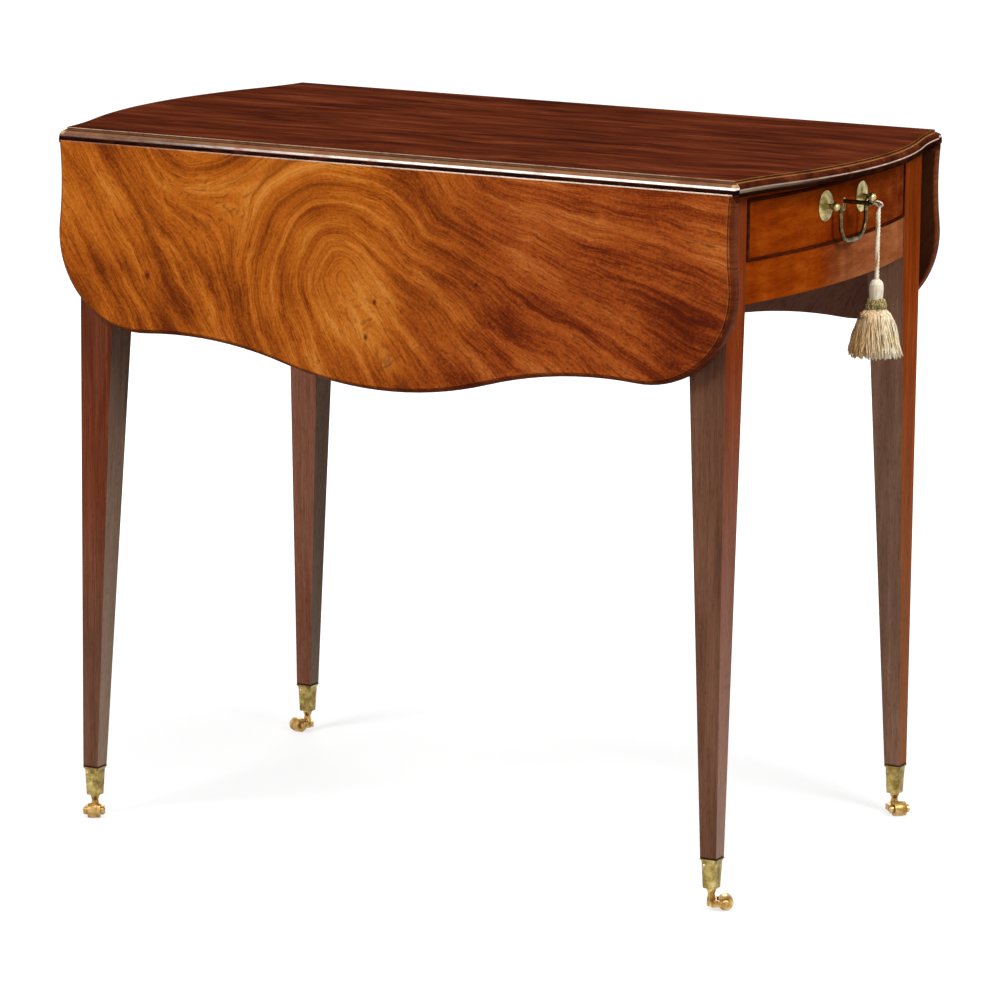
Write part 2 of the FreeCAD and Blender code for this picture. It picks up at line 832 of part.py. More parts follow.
def make_fly_bracket():
    """The front bracket that swings out under the leaf, cut away below towards its tip."""
    tip_low = fly_span[1] - bracket_tip_height
    sweep_start = bracket_tip_x + bracket_sweep_run
    rise = tip_low - fly_span[0]
    sweep_radius = (bracket_sweep_run ** 2 + rise ** 2) / (2 * rise)
    outer = Vector(0, -fly_outer, 0)

    def at(x, z):
        return outer + ALONG * x + UP * z

    sweep_centre = at(sweep_start, fly_span[0] + sweep_radius)
    side = Part.Wire(
        [
            line(at(knuckle_axis_x, fly_span[1]), at(bracket_tip_x, fly_span[1])),
            line(at(bracket_tip_x, fly_span[1]), at(bracket_tip_x, tip_low)),
            arc_about(sweep_centre, at(bracket_tip_x, tip_low), at(sweep_start, fly_span[0])),
            line(at(sweep_start, fly_span[0]), at(knuckle_axis_x, fly_span[0])),
            line(at(knuckle_axis_x, fly_span[0]), at(knuckle_axis_x, fly_span[1])),
        ]
    )
    body = prism(side, ACROSS * (fly_thickness - running_clearance))
    return knuckled(body, 1)


def make_fly_stop_block():
    """The short fixed part of the front fly rail that the bracket closes against."""
    return block((-leg_inner_x, bracket_tip_x - bracket_gap), (-fly_outer, -fly_inner), fly_span)


# Drawer, its lock, and what it runs on
lock_x = (drawer_inner_face, drawer_inner_face + lock_depth)
lock_z = (drawer_ceiling - lock_height, drawer_ceiling)
bolt_x = (lock_x[0] + lock_wall, lock_x[0] + lock_wall + bolt_depth)
bit_room_radius = key_bit_reach + 2 * running_clearance
bolt_low = handle_height + bit_room_radius + running_clearance
key_tip_x = end_peak + key_projection


def tail_band():
    return (drawer_floor + bead_width, drawer_side_top - bead_width)


def dovetails(side, fullness):
    """Tails of one drawer side, which lap into the end of the drawer front."""
    low, high = tail_band()
    pitch = (high - low) / tail_count
    tails = []
    for index in range(tail_count):
        middle = low + pitch * index + pitch / 2
        root = pitch * tail_root_share / 2 + fullness
        tip = pitch * tail_tip_share / 2 + fullness
        start = drawer_inner_face
        end = drawer_inner_face + tail_length + fullness
        outer = side * drawer_half_width
        plan = polygon(
            [
                Vector(start, outer, middle - root),
                Vector(end, outer, middle - tip),
                Vector(end, outer, middle + tip),
                Vector(start, outer, middle + root),
            ]
        )
        tails.append(prism(plan, ACROSS * (-side * (drawer_board + fullness))))
    return tails


bottom_low = drawer_floor + drawer_bottom_raise
bottom_z = (bottom_low, bottom_low + drawer_bottom_thickness)
bottom_half = drawer_half_width - drawer_board + groove_depth
bottom_front = drawer_inner_face + groove_depth


def bottom_groove():
    """Room for the drawer bottom's edges in the sides and the front."""
    return block(
        (drawer_rear, bottom_front + seat_clearance),
        (-bottom_half - seat_clearance, bottom_half + seat_clearance),
        (bottom_z[0], bottom_z[1] + seat_clearance),
    )


def keyhole(fullness, x_span):
    """A round hole with a slot below it, through the drawer front and the lock's face."""
    centre = Vector(x_span[0], 0, handle_height)
    radius = key_shank_radius + running_clearance + fullness
    hole = rod(centre, centre + ALONG * (x_span[1] - x_span[0]), radius)
    half = keyhole_slot_width / 2 + fullness
    slot = block(x_span, (-half, half), (handle_height - keyhole_slot_drop - fullness, handle_height))
    return hole.fuse(slot).removeSplitter()


def make_drawer_front():
    """The bowed drawer front, with its bead rebates, dovetail sockets, lock mortise and keyhole."""
    front = bowed_piece((drawer_floor, drawer_ceiling), drawer_inner_face)
    front_y = (-drawer_half_width, drawer_half_width)
    front = front.common(block((drawer_inner_face, end_peak), front_y, (drawer_floor, drawer_ceiling)))
    lock_room = block(
        (lock_x[0] - overrun, lock_x[1] + seat_clearance),
        (-lock_width / 2 - seat_clearance, lock_width / 2 + seat_clearance),
        (lock_z[0] - seat_clearance, lock_z[1] + overrun),
    )
    cuts = bead_strips(0) + dovetails(-1, seat_clearance) + dovetails(1, seat_clearance)
    cuts = cuts + [bottom_groove(), lock_room, keyhole(0, (lock_x[0], end_peak + overrun))]
    cuts.append(keyhole(liner_wall, (end_peak - liner_depth, end_peak + overrun)))
    return front.cut(cuts)


def make_drawer_side(side):
    """One drawer side, dovetailed in front and grooved for the bottom."""
    outer = side * drawer_half_width
    inner = side * (drawer_half_width - drawer_board)
    board = block((drawer_rear, drawer_inner_face), (outer, inner), (drawer_floor, drawer_side_top))
    return board.multiFuse(dovetails(side, 0)).removeSplitter().cut(bottom_groove())


def make_drawer_back():
    half = drawer_half_width - drawer_board
    back_z = (bottom_z[1] + seat_clearance, drawer_side_top)
    return block((drawer_rear, drawer_rear + drawer_board), (-half, half), back_z)


def make_drawer_bottom():
    return block((drawer_rear, bottom_front), (-bottom_half, bottom_half), bottom_z)


def make_runner(side):
    """Runner and guide for one drawer side, in one L-shaped strip glued to the side rail."""
    rear = drawer_rear - runner_overhang
    inner = side * (side_rail_inner - runner_width)
    rail_face = side * side_rail_inner
    leg_face = side * leg_inner_y
    runner_z = (apron_top - runner_thickness, apron_top)
    runner = block((rear, leg_inner_x), (inner, rail_face), runner_z)
    nose = block((leg_inner_x, end_rail_inner), (inner, leg_face), runner_z)
    guide = block((rear, leg_inner_x), (leg_face, rail_face), (apron_top, drawer_side_top))
    return runner.multiFuse([nose, guide]).removeSplitter()


def make_kicker(side):
    """Strip over one drawer side that keeps the open drawer from tipping."""
    rear = drawer_rear - runner_overhang
    inner = side * (side_rail_inner - runner_width)
    kicker_z = (drawer_side_top + kicker_gap, top_underside)
    kicker = block((rear, leg_inner_x), (inner, side * side_rail_inner), kicker_z)
    nose = block((leg_inner_x, end_face - top_rail_width), (inner, side * leg_inner_y), kicker_z)
    return kicker.fuse(nose).removeSplitter()


def make_lock_case():
    """The brass lock, hollow for the bolt and for the key's bit."""
    case = block(lock_x, (-lock_width / 2, lock_width / 2), lock_z)
    bolt_room = block(
        (bolt_x[0] - pin_clearance, bolt_x[1] + pin_clearance),
        (-bolt_width / 2 - pin_clearance, bolt_width / 2 + pin_clearance),
        (handle_height, drawer_ceiling + overrun),
    )
    centre = Vector(bolt_x[0], 0, handle_height)
    bit_room = rod(centre, centre + ALONG * bolt_depth, bit_room_radius)
    return case.cut([bolt_room, bit_room, keyhole(0, (bolt_x[0], lock_x[1] + overrun))])


def make_lock_bolt():
    return block(bolt_x, (-bolt_width / 2, bolt_width / 2), (bolt_low, drawer_ceiling))


def make_keyhole_liner():
    """Thin brass lining of the keyhole, let in flush with the bowed face."""
    x_span = (end_peak - liner_depth, end_peak)
    return keyhole(liner_wall, x_span).cut(keyhole(0, (x_span[0] - overrun, x_span[1] + overrun)))


def make_key():
    """The key, with its bit in the lock and its ring bow flat, so that it turns about its own shank."""
    bow_centre = Vector(key_tip_x - key_bow_radius, 0, handle_height)
    shank_start = Vector(bolt_x[0], 0, handle_height)
    shank_end = bow_centre - ALONG * (key_bow_radius - key_bow_wire)
    shank = rod(shank_start, shank_end, key_shank_radius)
    bit_middle = bolt_x[0] + bolt_depth / 2
    bit = block(
        (bit_middle - key_bit_length / 2, bit_middle + key_bit_length / 2),
        (0, key_bit_reach),
        (handle_height - key_bit_thickness / 2, handle_height + key_bit_thickness / 2),
    )
    collar = rod(shank_end - ALONG * key_collar_length, shank_end, key_collar_radius)
    bow = Part.makeTorus(key_bow_radius, key_bow_wire, bow_centre, UP)
    return shank.multiFuse([bit, collar, bow])


# Handles: posts and plates stand square to the bowed face
handle_turn = math.degrees(math.asin(handle_half_span / end_bow_radius))
face_centre = Vector(end_peak - end_bow_radius, 0, handle_height)


def handle_foot(side):
    """Where a handle's post meets the bowed face, and the way it points."""
    angle = math.radians(side * handle_turn)
    outward = Vector(math.cos(angle), math.sin(angle), 0)
    return face_centre + outward * end_bow_radius, outward


def post_ball(side):
    foot, outward = handle_foot(side)
    return foot + outward * post_reach


def make_rosette(side):
    """Round cast plate under a post, domed from a thin rim."""
    foot, outward = handle_foot(side)
    seat = foot + outward * pin_clearance
    dome_start = rosette_radius - rosette_rim
    inner = Vector(post_stem_radius, 0, 0)
    rim_low = Vector(rosette_radius, 0, 0)
    rim_high = Vector(rosette_radius, 0, rosette_rim)
    shoulder = Vector(dome_start, 0, rosette_rim)
    crest = Vector(post_stem_radius, 0, rosette_dome)
    diagonal = math.sin(math.pi / 4)
    middle = Vector(dome_start * diagonal, 0, rosette_rim + (rosette_dome - rosette_rim) * diagonal)
    section = Part.Wire(
        [
            line(inner, rim_low),
            line(rim_low, rim_high),
            line(rim_high, shoulder),
            Part.Arc(shoulder, middle, crest).toShape(),
            line(crest, inner),
        ]
    )
    solid = Part.Face(section).revolve(ORIGIN, UP, 360)
    solid.Placement = FreeCAD.Placement(seat, FreeCAD.Rotation(UP, outward))
    return solid


def make_post(side):
    """Turned post with a ball head, bored across for the bail's pin."""
    foot, outward = handle_foot(side)
    ball = post_ball(side)
    stem = rod(foot + outward * pin_clearance, ball, post_stem_radius - pin_clearance)
    head = Part.makeSphere(post_ball_radius, ball)
    bore_start = ball - ACROSS * (side * (post_ball_radius + overrun))
    bore = rod(bore_start, ball + ACROSS * (side * bail_pin_gap), bail_wire_radius + pin_clearance)
    return stem.fuse(head).cut(bore)


def make_bail():
    """The swan-neck bail: pins in the posts, short necks inwards and a deep loop with a swelled grip."""
    pivot = post_ball(1)
    x = pivot.x

    def at(across, down):
        return Vector(x, across, handle_height - down)

    start = at(pivot.y, 0)
    neck = at(bail_half_width + bail_bend_radius, 0)
    bend_end = at(bail_half_width, bail_bend_radius)
    bend_centre = at(bail_half_width + bail_bend_radius, bail_bend_radius)
    side_foot = at(bail_half_width, bail_drop - bail_corner_radius)
    corner = at(bail_half_width - bail_corner_radius, bail_drop - bail_corner_radius)
    grip_end = at(bail_half_width - bail_corner_radius, bail_drop)
    edges = [
        line(start, neck),
        arc_about(bend_centre, neck, bend_end),
        line(bend_end, side_foot),
        arc_about(corner, side_foot, grip_end),
        line(grip_end, flip_y(grip_end)),
        arc_about(flip_y(corner), flip_y(grip_end), flip_y(side_foot)),
        line(flip_y(side_foot), flip_y(bend_end)),
        arc_about(flip_y(bend_centre), flip_y(bend_end), flip_y(neck)),
        line(flip_y(neck), flip_y(start)),
    ]
    section = Part.Wire(Part.makeCircle(bail_wire_radius, start, ACROSS))
    wire = Part.Wire(edges).makePipeShell([section], True, False)
    grip_half = grip_end.y
    grip_profile = [
        (0, -grip_half),
        (bail_wire_radius, -grip_half),
        (bail_grip_radius, 0),
        (bail_wire_radius, grip_half),
        (0, grip_half),
    ]
    grip = turned(grip_profile, at(0, bail_drop), ACROSS)
    return wire.fuse(grip)


# Tassel, hung by its cord from the key's bow
loop_centre = Vector(key_tip_x, 0, handle_height)
cord_top = handle_height - loop_neck_drop
cord_foot = cord_top - cord_drop + loop_neck_drop
head_foot = cord_foot - head_height
ruff_foot = head_foot - ruff_height
skirt_foot = ruff_foot - skirt_height


def make_cord_loop():
    """Eye of the cord round the bow, canted so that the bow can turn inside it, and its neck."""
    cant = Vector(0, 1, 1)
    ring = Part.makeTorus(loop_radius, loop_wire, loop_centre, cant)
    low_point = Vector(0, 1, -1)
    low_point.normalize()
    neck = rod(loop_centre + low_point * loop_radius, loop_centre - UP * loop_neck_drop, loop_wire)
    return ring.fuse(neck)


def make_tassel_cord():
    middle = Vector(loop_centre.x, 0, cord_foot)
    return rod(middle, Vector(loop_centre.x, 0, cord_top), cord_radius)


def make_tassel_head():
    profile = [
        (0, 0),
        (head_radius * head_foot_share, 0),
        (head_radius, head_height * head_belly_share),
        (head_radius * head_shoulder_share, head_height),
        (0, head_height),
    ]
    return turned(profile, Vector(loop_centre.x, 0, head_foot), UP)


def make_tassel_ruff():
    profile = [
        (0, 0),
        (ruff_radius * ruff_waist_share, 0),
        (ruff_radius, ruff_height / 2),
        (ruff_radius * ruff_waist_share, ruff_height),
        (0, ruff_height),
    ]
    return turned(profile, Vector(loop_centre.x, 0, ruff_foot), UP)


def make_tassel_skirt():
    """Skirt of loose threads, as the space that they fill."""
    knee = skirt_top_radius + (skirt_radius - skirt_top_radius) * skirt_knee_radius_share
    profile = [
        (0, 0),
        (skirt_radius, 0),
        (knee, skirt_height * skirt_knee_share),
        (skirt_top_radius, skirt_height),
        (0, skirt_height),
    ]
    return turned(profile, Vector(loop_centre.x, 0, skirt_foot), UP)


# Castors, made at the middle of their swivel and then set under a leg
def make_cup(side_x, side_y):
    """Square tapered brass cup with cut corners and a flared lip, on the leg's toe."""
    x = side_x * ankle_x
    y = side_y * ankle_y
    lip_foot = cup_rim_height - cup_lip_height
    outside_sections = [
        chamfered_square(x, y, cup_bottom, cup_bottom_width, cup_chamfer),
        chamfered_square(x, y, lip_foot, cup_neck_width, cup_chamfer),
        chamfered_square(x, y, cup_rim_height, cup_lip_width, cup_lip_chamfer),
    ]
    cavity_sections = [
        chamfered_square(x, y, cup_bottom + cup_floor, cavity_foot_width, toe_chamfer),
        chamfered_square(x, y, lip_foot, cavity_neck_width, toe_chamfer),
        chamfered_square(x, y, cup_rim_height + overrun, cavity_neck_width, toe_chamfer),
    ]
    outside = Part.makeLoft(outside_sections, True, True)
    cavity = Part.makeLoft(cavity_sections, True, True)
    bore = rod(
        Vector(x, y, cup_bottom - overrun),
        Vector(x, y, cup_bottom + cup_floor + overrun),
        swivel_radius + pin_clearance,
    )
    return outside.cut([cavity, bore])


def set_under_leg(shape, corner):
    side_x, side_y = corners[corner]
    placed = shape.copy()
    placed.rotate(ORIGIN, UP, castor_rest_turns[corner])
    placed.translate(Vector(side_x * ankle_x, side_y * ankle_y, 0))
    return placed


slot_half = wheel_width / 2 + cheek_gap
arm_half = slot_half + arm_thickness
fork_half = arm_half + boss_proud


def make_fork():
    """Trailing fork: a turned neck on a low yoke, whose two arms end in round bosses on the axle."""
    axle = Vector(castor_trail, 0, wheel_radius)
    arm_low = wheel_radius - arm_half_height
    arm_high = wheel_radius + arm_half_height
    wheel_start = castor_trail - wheel_radius - crown_clearance
    plan = [(castor_trail, -arm_half), (castor_trail, arm_half), (0, arm_half)]
    plan = plan + [(-crown_reach, crown_reach), (-crown_reach, -crown_reach), (0, -arm_half)]
    yoke = prism(polygon([Vector(x, y, arm_low) for x, y in plan]), UP * (arm_high - arm_low))
    slot = block(
        (wheel_start, castor_trail + overrun), (-slot_half, slot_half), (arm_low - overrun, arm_high + overrun)
    )
    boss_profile = [
        (0, slot_half),
        (boss_radius, slot_half),
        (boss_radius, arm_half),
        (boss_radius - boss_proud, fork_half),
        (0, fork_half),
    ]
    bosses = [turned(boss_profile, axle, ACROSS), turned(boss_profile, axle, -ACROSS)]
    neck_profile = [
        (0, arm_low),
        (crown_reach, arm_low),
        (neck_foot_radius, arm_high),
        (neck_waist_radius, arm_high + neck_height * neck_waist_share),
        (neck_bead_radius, fork_top - neck_bead_height),
        (neck_bead_radius, fork_top),
        (0, fork_top),
    ]
    neck = turned(neck_profile, ORIGIN, UP)
    stem = rod(Vector(0, 0, arm_low), Vector(0, 0, fork_top + swivel_stem_height), swivel_radius)
    axle_pin = rod(axle - ACROSS * arm_half, axle + ACROSS * arm_half, axle_radius)
    return yoke.cut(slot).multiFuse(bosses + [neck, stem, axle_pin]).removeSplitter()


def make_wheel():
    """Barrel-shaped brass wheel on its axle."""
    half = wheel_width / 2
    bore = axle_radius + pin_clearance
    edge = Part.Arc(
        Vector(wheel_edge_radius, 0, -half), Vector(wheel_radius, 0, 0), Vector(wheel_edge_radius, 0, half)
    ).toShape()
    section = Part.Wire(
        [
            line(Vector(bore, 0, -half), Vector(wheel_edge_radius, 0, -half)),
            edge,
            line(Vector(wheel_edge_radius, 0, half), Vector(bore, 0, half)),
            line(Vector(bore, 0, half), Vector(bore, 0, -half)),
        ]
    )
    wheel = Part.Face(section).revolve(ORIGIN, UP, 360)
    wheel.Placement = FreeCAD.Placement(
        Vector(castor_trail, 0, wheel_radius), FreeCAD.Rotation(UP, ACROSS)
    )
    return wheel


def hinge_wire(place):
    centre = on_axis(0, 0) + ALONG * place
    return rod(centre - ALONG * (flap_length / 2), centre + ALONG * (flap_length / 2), hinge_wire_radius)


def both_faces(shapes):
    """Pieces of the back hinge line together with those of the front one."""
    return shapes + [half_turn(shape) for shape in shapes]


def export(name, shape):
    """Write one node: a single piece, or a group of like pieces."""
    if isinstance(shape, list):
        shape = Part.makeCompound(shape)
    shape.exportStep("parts/" + name + ".step")


os.makedirs("parts", exist_ok=True)

for corner, (side_x, side_y) in corners.items():
    export("leg_" + corner, make_leg(side_x, side_y))
    export("castor_cup_" + corner, make_cup(side_x, side_y))
    export("castor_fork_" + corner, set_under_leg(make_fork(), corner))
    export("castor_wheel_" + corner, set_under_leg(make_wheel(), corner))

export("side_rail_front", make_side_rail())
export("side_rail_back", half_turn(make_side_rail()))
export("drawer_apron", make_apron())
export("drawer_top_rail", make_top_rail())
export("sham_front", make_sham_front())
export("sham_cock_bead", [half_turn(strip) for strip in bead_strips(0)])
export("drawer_runners", [make_runner(-1), make_runner(1)])
export("drawer_kickers", [make_kicker(-1), make_kicker(1)])

export("fly_hinge_block_front", make_fly_hinge_block())
export("fly_hinge_block_back", half_turn(make_fly_hinge_block()))
export("fly_stop_block_front", make_fly_stop_block())
export("fly_stop_block_back", half_turn(make_fly_stop_block()))
export("fly_bracket_front", make_fly_bracket())
export("fly_bracket_back", half_turn(make_fly_bracket()))
export("fly_pins", [fly_axis_rod(fly_pin_radius), half_turn(fly_axis_rod(fly_pin_radius))])

export("table_top", make_table_top())
flat_leaf = make_flat_leaf()
leaf_flaps = [hinge_flap(place, True) for place in hinge_places()]
export("leaf_back", hung(flat_leaf))
export("leaf_front", half_turn(hung(flat_leaf)))
export("leaf_hinge_flaps_back", [hung(flap) for flap in leaf_flaps])
export("leaf_hinge_flaps_front", [half_turn(hung(flap)) for flap in leaf_flaps])
export("top_hinge_flaps", both_faces([hinge_flap(place, False) for place in hinge_places()]))
export("hinge_pins", both_faces([hinge_wire(place) for place in hinge_places()]))

export("drawer_front", make_drawer_front())
export("drawer_side_front", make_drawer_side(-1))
export("drawer_side_back", make_drawer_side(1))
export("drawer_back", make_drawer_back())
export("drawer_bottom", make_drawer_bottom())
export("drawer_cock_bead", bead_strips(0))
export("lock_case", make_lock_case())
export("lock_bolt", make_lock_bolt())
export("keyhole_liner", make_keyhole_liner())
export("key", make_key())

rosettes = [make_rosette(-1), make_rosette(1)]
posts = [make_post(-1), make_post(1)]
export("handle_rosettes", rosettes)
export("handle_posts", posts)
export("handle_bail", make_bail())
export("sham_handle_rosettes", [half_turn(rosette) for rosette in rosettes])
export("sham_handle_posts", [half_turn(post) for post in posts])
export("sham_handle_bail", half_turn(make_bail()))

export("tassel_loop", make_cord_loop())
export("tassel_cord", make_tassel_cord())
export("tassel_head", make_tassel_head())
export("tassel_ruff", make_tassel_ruff())
export("tassel_skirt", make_tassel_skirt())
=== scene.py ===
"""A serpentine drop-leaf table in polished mahogany, dressed for its studio photograph."""

import math

import bpy
import numpy as np
from mathutils import Matrix, Vector


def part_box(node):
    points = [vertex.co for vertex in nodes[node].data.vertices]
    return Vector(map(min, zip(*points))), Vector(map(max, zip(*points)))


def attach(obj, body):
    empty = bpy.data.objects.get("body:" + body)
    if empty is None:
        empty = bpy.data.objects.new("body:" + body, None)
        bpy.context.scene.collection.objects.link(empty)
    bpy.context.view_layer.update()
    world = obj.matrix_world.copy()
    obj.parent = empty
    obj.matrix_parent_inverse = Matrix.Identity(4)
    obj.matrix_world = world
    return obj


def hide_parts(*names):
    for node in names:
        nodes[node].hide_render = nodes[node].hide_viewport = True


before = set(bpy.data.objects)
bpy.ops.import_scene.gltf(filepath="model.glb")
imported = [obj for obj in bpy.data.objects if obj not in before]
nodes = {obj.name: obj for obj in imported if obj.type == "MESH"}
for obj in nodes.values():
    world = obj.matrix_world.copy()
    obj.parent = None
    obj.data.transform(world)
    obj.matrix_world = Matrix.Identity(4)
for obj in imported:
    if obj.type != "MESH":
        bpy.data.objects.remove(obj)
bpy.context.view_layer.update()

# Legs: four square legs of solid mahogany, tapered on their inner sides below the frieze. The grain runs down
# them. The wax on them has gone dull with age, so they look matt. Dust and a painted reflection of the floor
# grey their end faces low down, and a painted reflection of the floor dulls the front of the front left leg
# low down.
drift_size = 0.2
pore_shade = "#2A0F07"


def linear(shade):
    """An sRGB hex colour as the linear RGBA that shaders take."""
    channels = np.array([int(shade[i : i + 2], 16) for i in (1, 3, 5)]) / 255.0
    straight = np.where(channels <= 0.04045, channels / 12.92, ((channels + 0.055) / 1.055) ** 2.4)
    return (*straight.tolist(), 1.0)


def put(tree, kind, sockets=None, out=0, stops=(), **settings):
    """Adds one shader node, sets its options, fills or links its sockets, gives a colour ramp its stops of
    place and shade, and returns one output. A Mix of colours lays socket 7 over socket 6, into output 2."""
    made = tree.nodes.new("ShaderNode" + kind)
    for option, value in settings.items():
        setattr(made, option, value)
    for socket, value in (sockets or {}).items():
        if isinstance(value, bpy.types.NodeSocket):
            tree.links.new(value, made.inputs[socket])
        else:
            made.inputs[socket].default_value = value
    points = made.color_ramp.elements if stops else ()
    while len(points) < len(stops):
        points.new(0.5)
    for point, (place, shade) in zip(points, stops):
        point.position = place
        point.color = linear(shade)
    return made.outputs[out] if made.outputs else None


def new_finish(name):
    """An empty node material and its tree."""
    finish = bpy.data.materials.new(name)
    finish.use_nodes = True
    finish.node_tree.nodes.clear()
    return finish, finish.node_tree


def straight_lay(axis):
    """Object coordinates turned so that X runs along the grain: axis names the grain's own direction."""

    def lay(tree):
        x, y, z = put(tree, "SeparateXYZ", {"Vector": put(tree, "TexCoord", out="Object")}).node.outputs
        order = {"X": (x, y, z), "Y": (y, x, z), "Z": (z, x, y)}[axis]
        return put(tree, "CombineXYZ", dict(zip("XYZ", order)))

    return lay


def grained_wood(name, lay, paint, streak, reach, waver, weights, pore_depth, roughness, gloss):
    """Wood under its finish. Streaks of a width streak and a length reach (metres) waver sideways, among
    finer lines and broader clouds, whose weights add up to the tone that paint turns into colour. Short dark
    pores lie over them: they are 0.3 mm wide, and are drawn at 0.7 to 1 mm so that they show."""
    finish, tree = new_finish(name)
    grain = lay(tree)
    drift = put(tree, "TexNoise", {"Vector": grain, "Scale": 1 / drift_size, "Detail": 2.0}, out="Color")
    centred = put(tree, "VectorMath", {0: drift, 1: (0.5, 0.5, 0.5)}, operation="SUBTRACT")
    swing = {0: centred, 1: (0.0, waver, waver), 2: grain}
    side = put(tree, "VectorMath", swing, operation="MULTIPLY_ADD")

    def along_grain(length, width, detail):
        """Noise in spots of a length along the grain and a width across it (metres)."""
        scale = (1 / length, 1 / width, 1 / width)
        scaled = put(tree, "VectorMath", {0: side, 1: scale}, operation="MULTIPLY")
        spots = {"Vector": scaled, "Scale": 1.0, "Detail": detail, "Roughness": 0.66}
        return put(tree, "TexNoise", spots, out="Fac")

    streaks = along_grain(reach, streak, 5.0)
    lines = along_grain(reach / 3, streak / 6, 3.0)
    clouds = along_grain(reach * 0.8, streak * 2.6, 3.0)
    tone = put(tree, "Math", {0: streaks, 1: weights[0]}, operation="MULTIPLY")
    for band, weight in ((lines, weights[1]), (clouds, weights[2])):
        tone = put(tree, "Math", {0: band, 1: weight, 2: tone}, operation="MULTIPLY_ADD")
    colour = paint(tree, tone)
    for length, width, threshold in ((0.004, 0.0010, 0.66), (0.012, 0.0007, 0.60)):
        specks = along_grain(length, width, 0.0)
        deep = {"Value": specks, "From Min": threshold, "From Max": threshold + 0.12, "To Max": pore_depth}
        pores = put(tree, "MapRange", deep, clamp=True)
        darkening = {"Factor": pores, 6: colour, 7: linear(pore_shade)}
        colour = put(tree, "Mix", darkening, out=2, data_type="RGBA")
    rough_reach = {"Value": streaks, "From Min": 0.3, "From Max": 0.7}
    rough_reach.update({"To Min": roughness - 0.06, "To Max": roughness + 0.08})
    rough = put(tree, "MapRange", rough_reach, clamp=True)
    relief = put(tree, "Bump", {"Height": pores, "Strength": 0.12, "Distance": 0.0002}, invert=True)
    skin = {"Base Color": colour, "Roughness": rough, "Normal": relief, "Specular IOR Level": gloss}
    put(tree, "OutputMaterial", {"Surface": put(tree, "BsdfPrincipled", skin)})
    return finish


def finish_nodes(names, finish):
    """Gives CAD nodes one finish."""
    for name in names:
        nodes[name].data.materials.clear()
        nodes[name].data.materials.append(finish)


corner_names = ("front_right", "front_left", "back_left", "back_right")
end_facing = 0.7
# Dust with a painted floor reflection, a painted floor reflection on the fronts, and dirt, by height above
# the floor: where each starts and is full, and how much it covers
dust_and_reflection_top = 0.55
dust_and_reflection_foot = 0.06
dust_and_reflection_cover = 0.72
reflection_top = 0.34
reflection_foot = 0.16
cup_rim_fade = 0.0545
cup_rim = 0.0530
rim_dirt_cover = 0.85
rim_dirt = "#1C100B"


def leg_paint(front, foot, end, dust_and_reflection_shade):
    """A paint with one ramp on faces that look along the table's depth, which turns to the foot's ramp low
    down as a painted reflection of the floor, and another on faces that look to its ends, which turns grey
    towards the floor with dust and a painted reflection of the floor. A dark line of dirt lies at the rim of
    the castor."""

    def paint(tree, tone):
        height = put(tree, "SeparateXYZ", {"Vector": put(tree, "TexCoord", out="Object")}, out="Z")
        endward = put(tree, "SeparateXYZ", {"Vector": put(tree, "TexCoord", out="Normal")}, out="X")
        square = put(tree, "Math", {0: endward}, operation="ABSOLUTE")
        at_end = put(tree, "Math", {0: square, 1: end_facing}, operation="GREATER_THAN")
        # Dust and a painted reflection of the floor grey the end faces towards the floor.
        dust_and_reflection_reach = {"Value": height, "From Min": dust_and_reflection_top, "From Max": dust_and_reflection_foot, "To Max": dust_and_reflection_cover}
        dust_and_reflection = put(tree, "MapRange", dust_and_reflection_reach, clamp=True)
        # A painted reflection of the floor turns the fronts to the foot's ramp low down.
        foot_reflection_reach = {"Value": height, "From Min": reflection_top, "From Max": reflection_foot}
        foot_reflection = put(tree, "MapRange", foot_reflection_reach, clamp=True)
        rim = {"Value": height, "From Min": cup_rim_fade, "From Max": cup_rim, "To Max": rim_dirt_cover}
        dirt = put(tree, "MapRange", rim, clamp=True)
        front_colour = put(tree, "ValToRGB", {"Fac": tone}, stops=front)
        foot_colour = put(tree, "ValToRGB", {"Fac": tone}, stops=foot)
        end_colour = put(tree, "ValToRGB", {"Fac": tone}, stops=end)
        dust_and_reflection_mix = {"Factor": dust_and_reflection, 6: end_colour, 7: linear(dust_and_reflection_shade)}
        ends = put(tree, "Mix", dust_and_reflection_mix, out=2, data_type="RGBA")
        fronts = put(tree, "Mix", {"Factor": foot_reflection, 6: front_colour, 7: foot_colour}, out=2, data_type="RGBA")
        clean = put(tree, "Mix", {"Factor": at_end, 6: fronts, 7: ends}, out=2, data_type="RGBA")
        return put(tree, "Mix", {"Factor": dirt, 6: clean, 7: linear(rim_dirt)}, out=2, data_type="RGBA")

    return paint


# The ramps differ by leg and by facing partly as painted light: the end faces are painted as lit, orange on
# the right legs and grey on the left ones, and the fronts of the back legs are painted paler against their
# shade.
dull_brown = [(0.36, "#56372A"), (0.46, "#644232"), (0.54, "#704B39"), (0.66, "#805A46")]
pale_brown = [(0.36, "#6E4E3E"), (0.46, "#7E5B49"), (0.54, "#8A6652"), (0.66, "#9C7864")]
warm_red = [(0.36, "#521F14"), (0.46, "#632F1E"), (0.54, "#703A26"), (0.66, "#824C34")]
orange_red = [(0.36, "#682608"), (0.46, "#80340D"), (0.54, "#954214"), (0.66, "#AE561F")]
chestnut = [(0.36, "#5A200B"), (0.46, "#6F2D11"), (0.54, "#823919"), (0.66, "#984B25")]
pale_red = [(0.36, "#6A3F2E"), (0.46, "#7B4D39"), (0.54, "#885844"), (0.66, "#9A6A54")]
grey_brown = [(0.36, "#5F493A"), (0.46, "#6E5545"), (0.54, "#7B614F"), (0.66, "#8D7360")]
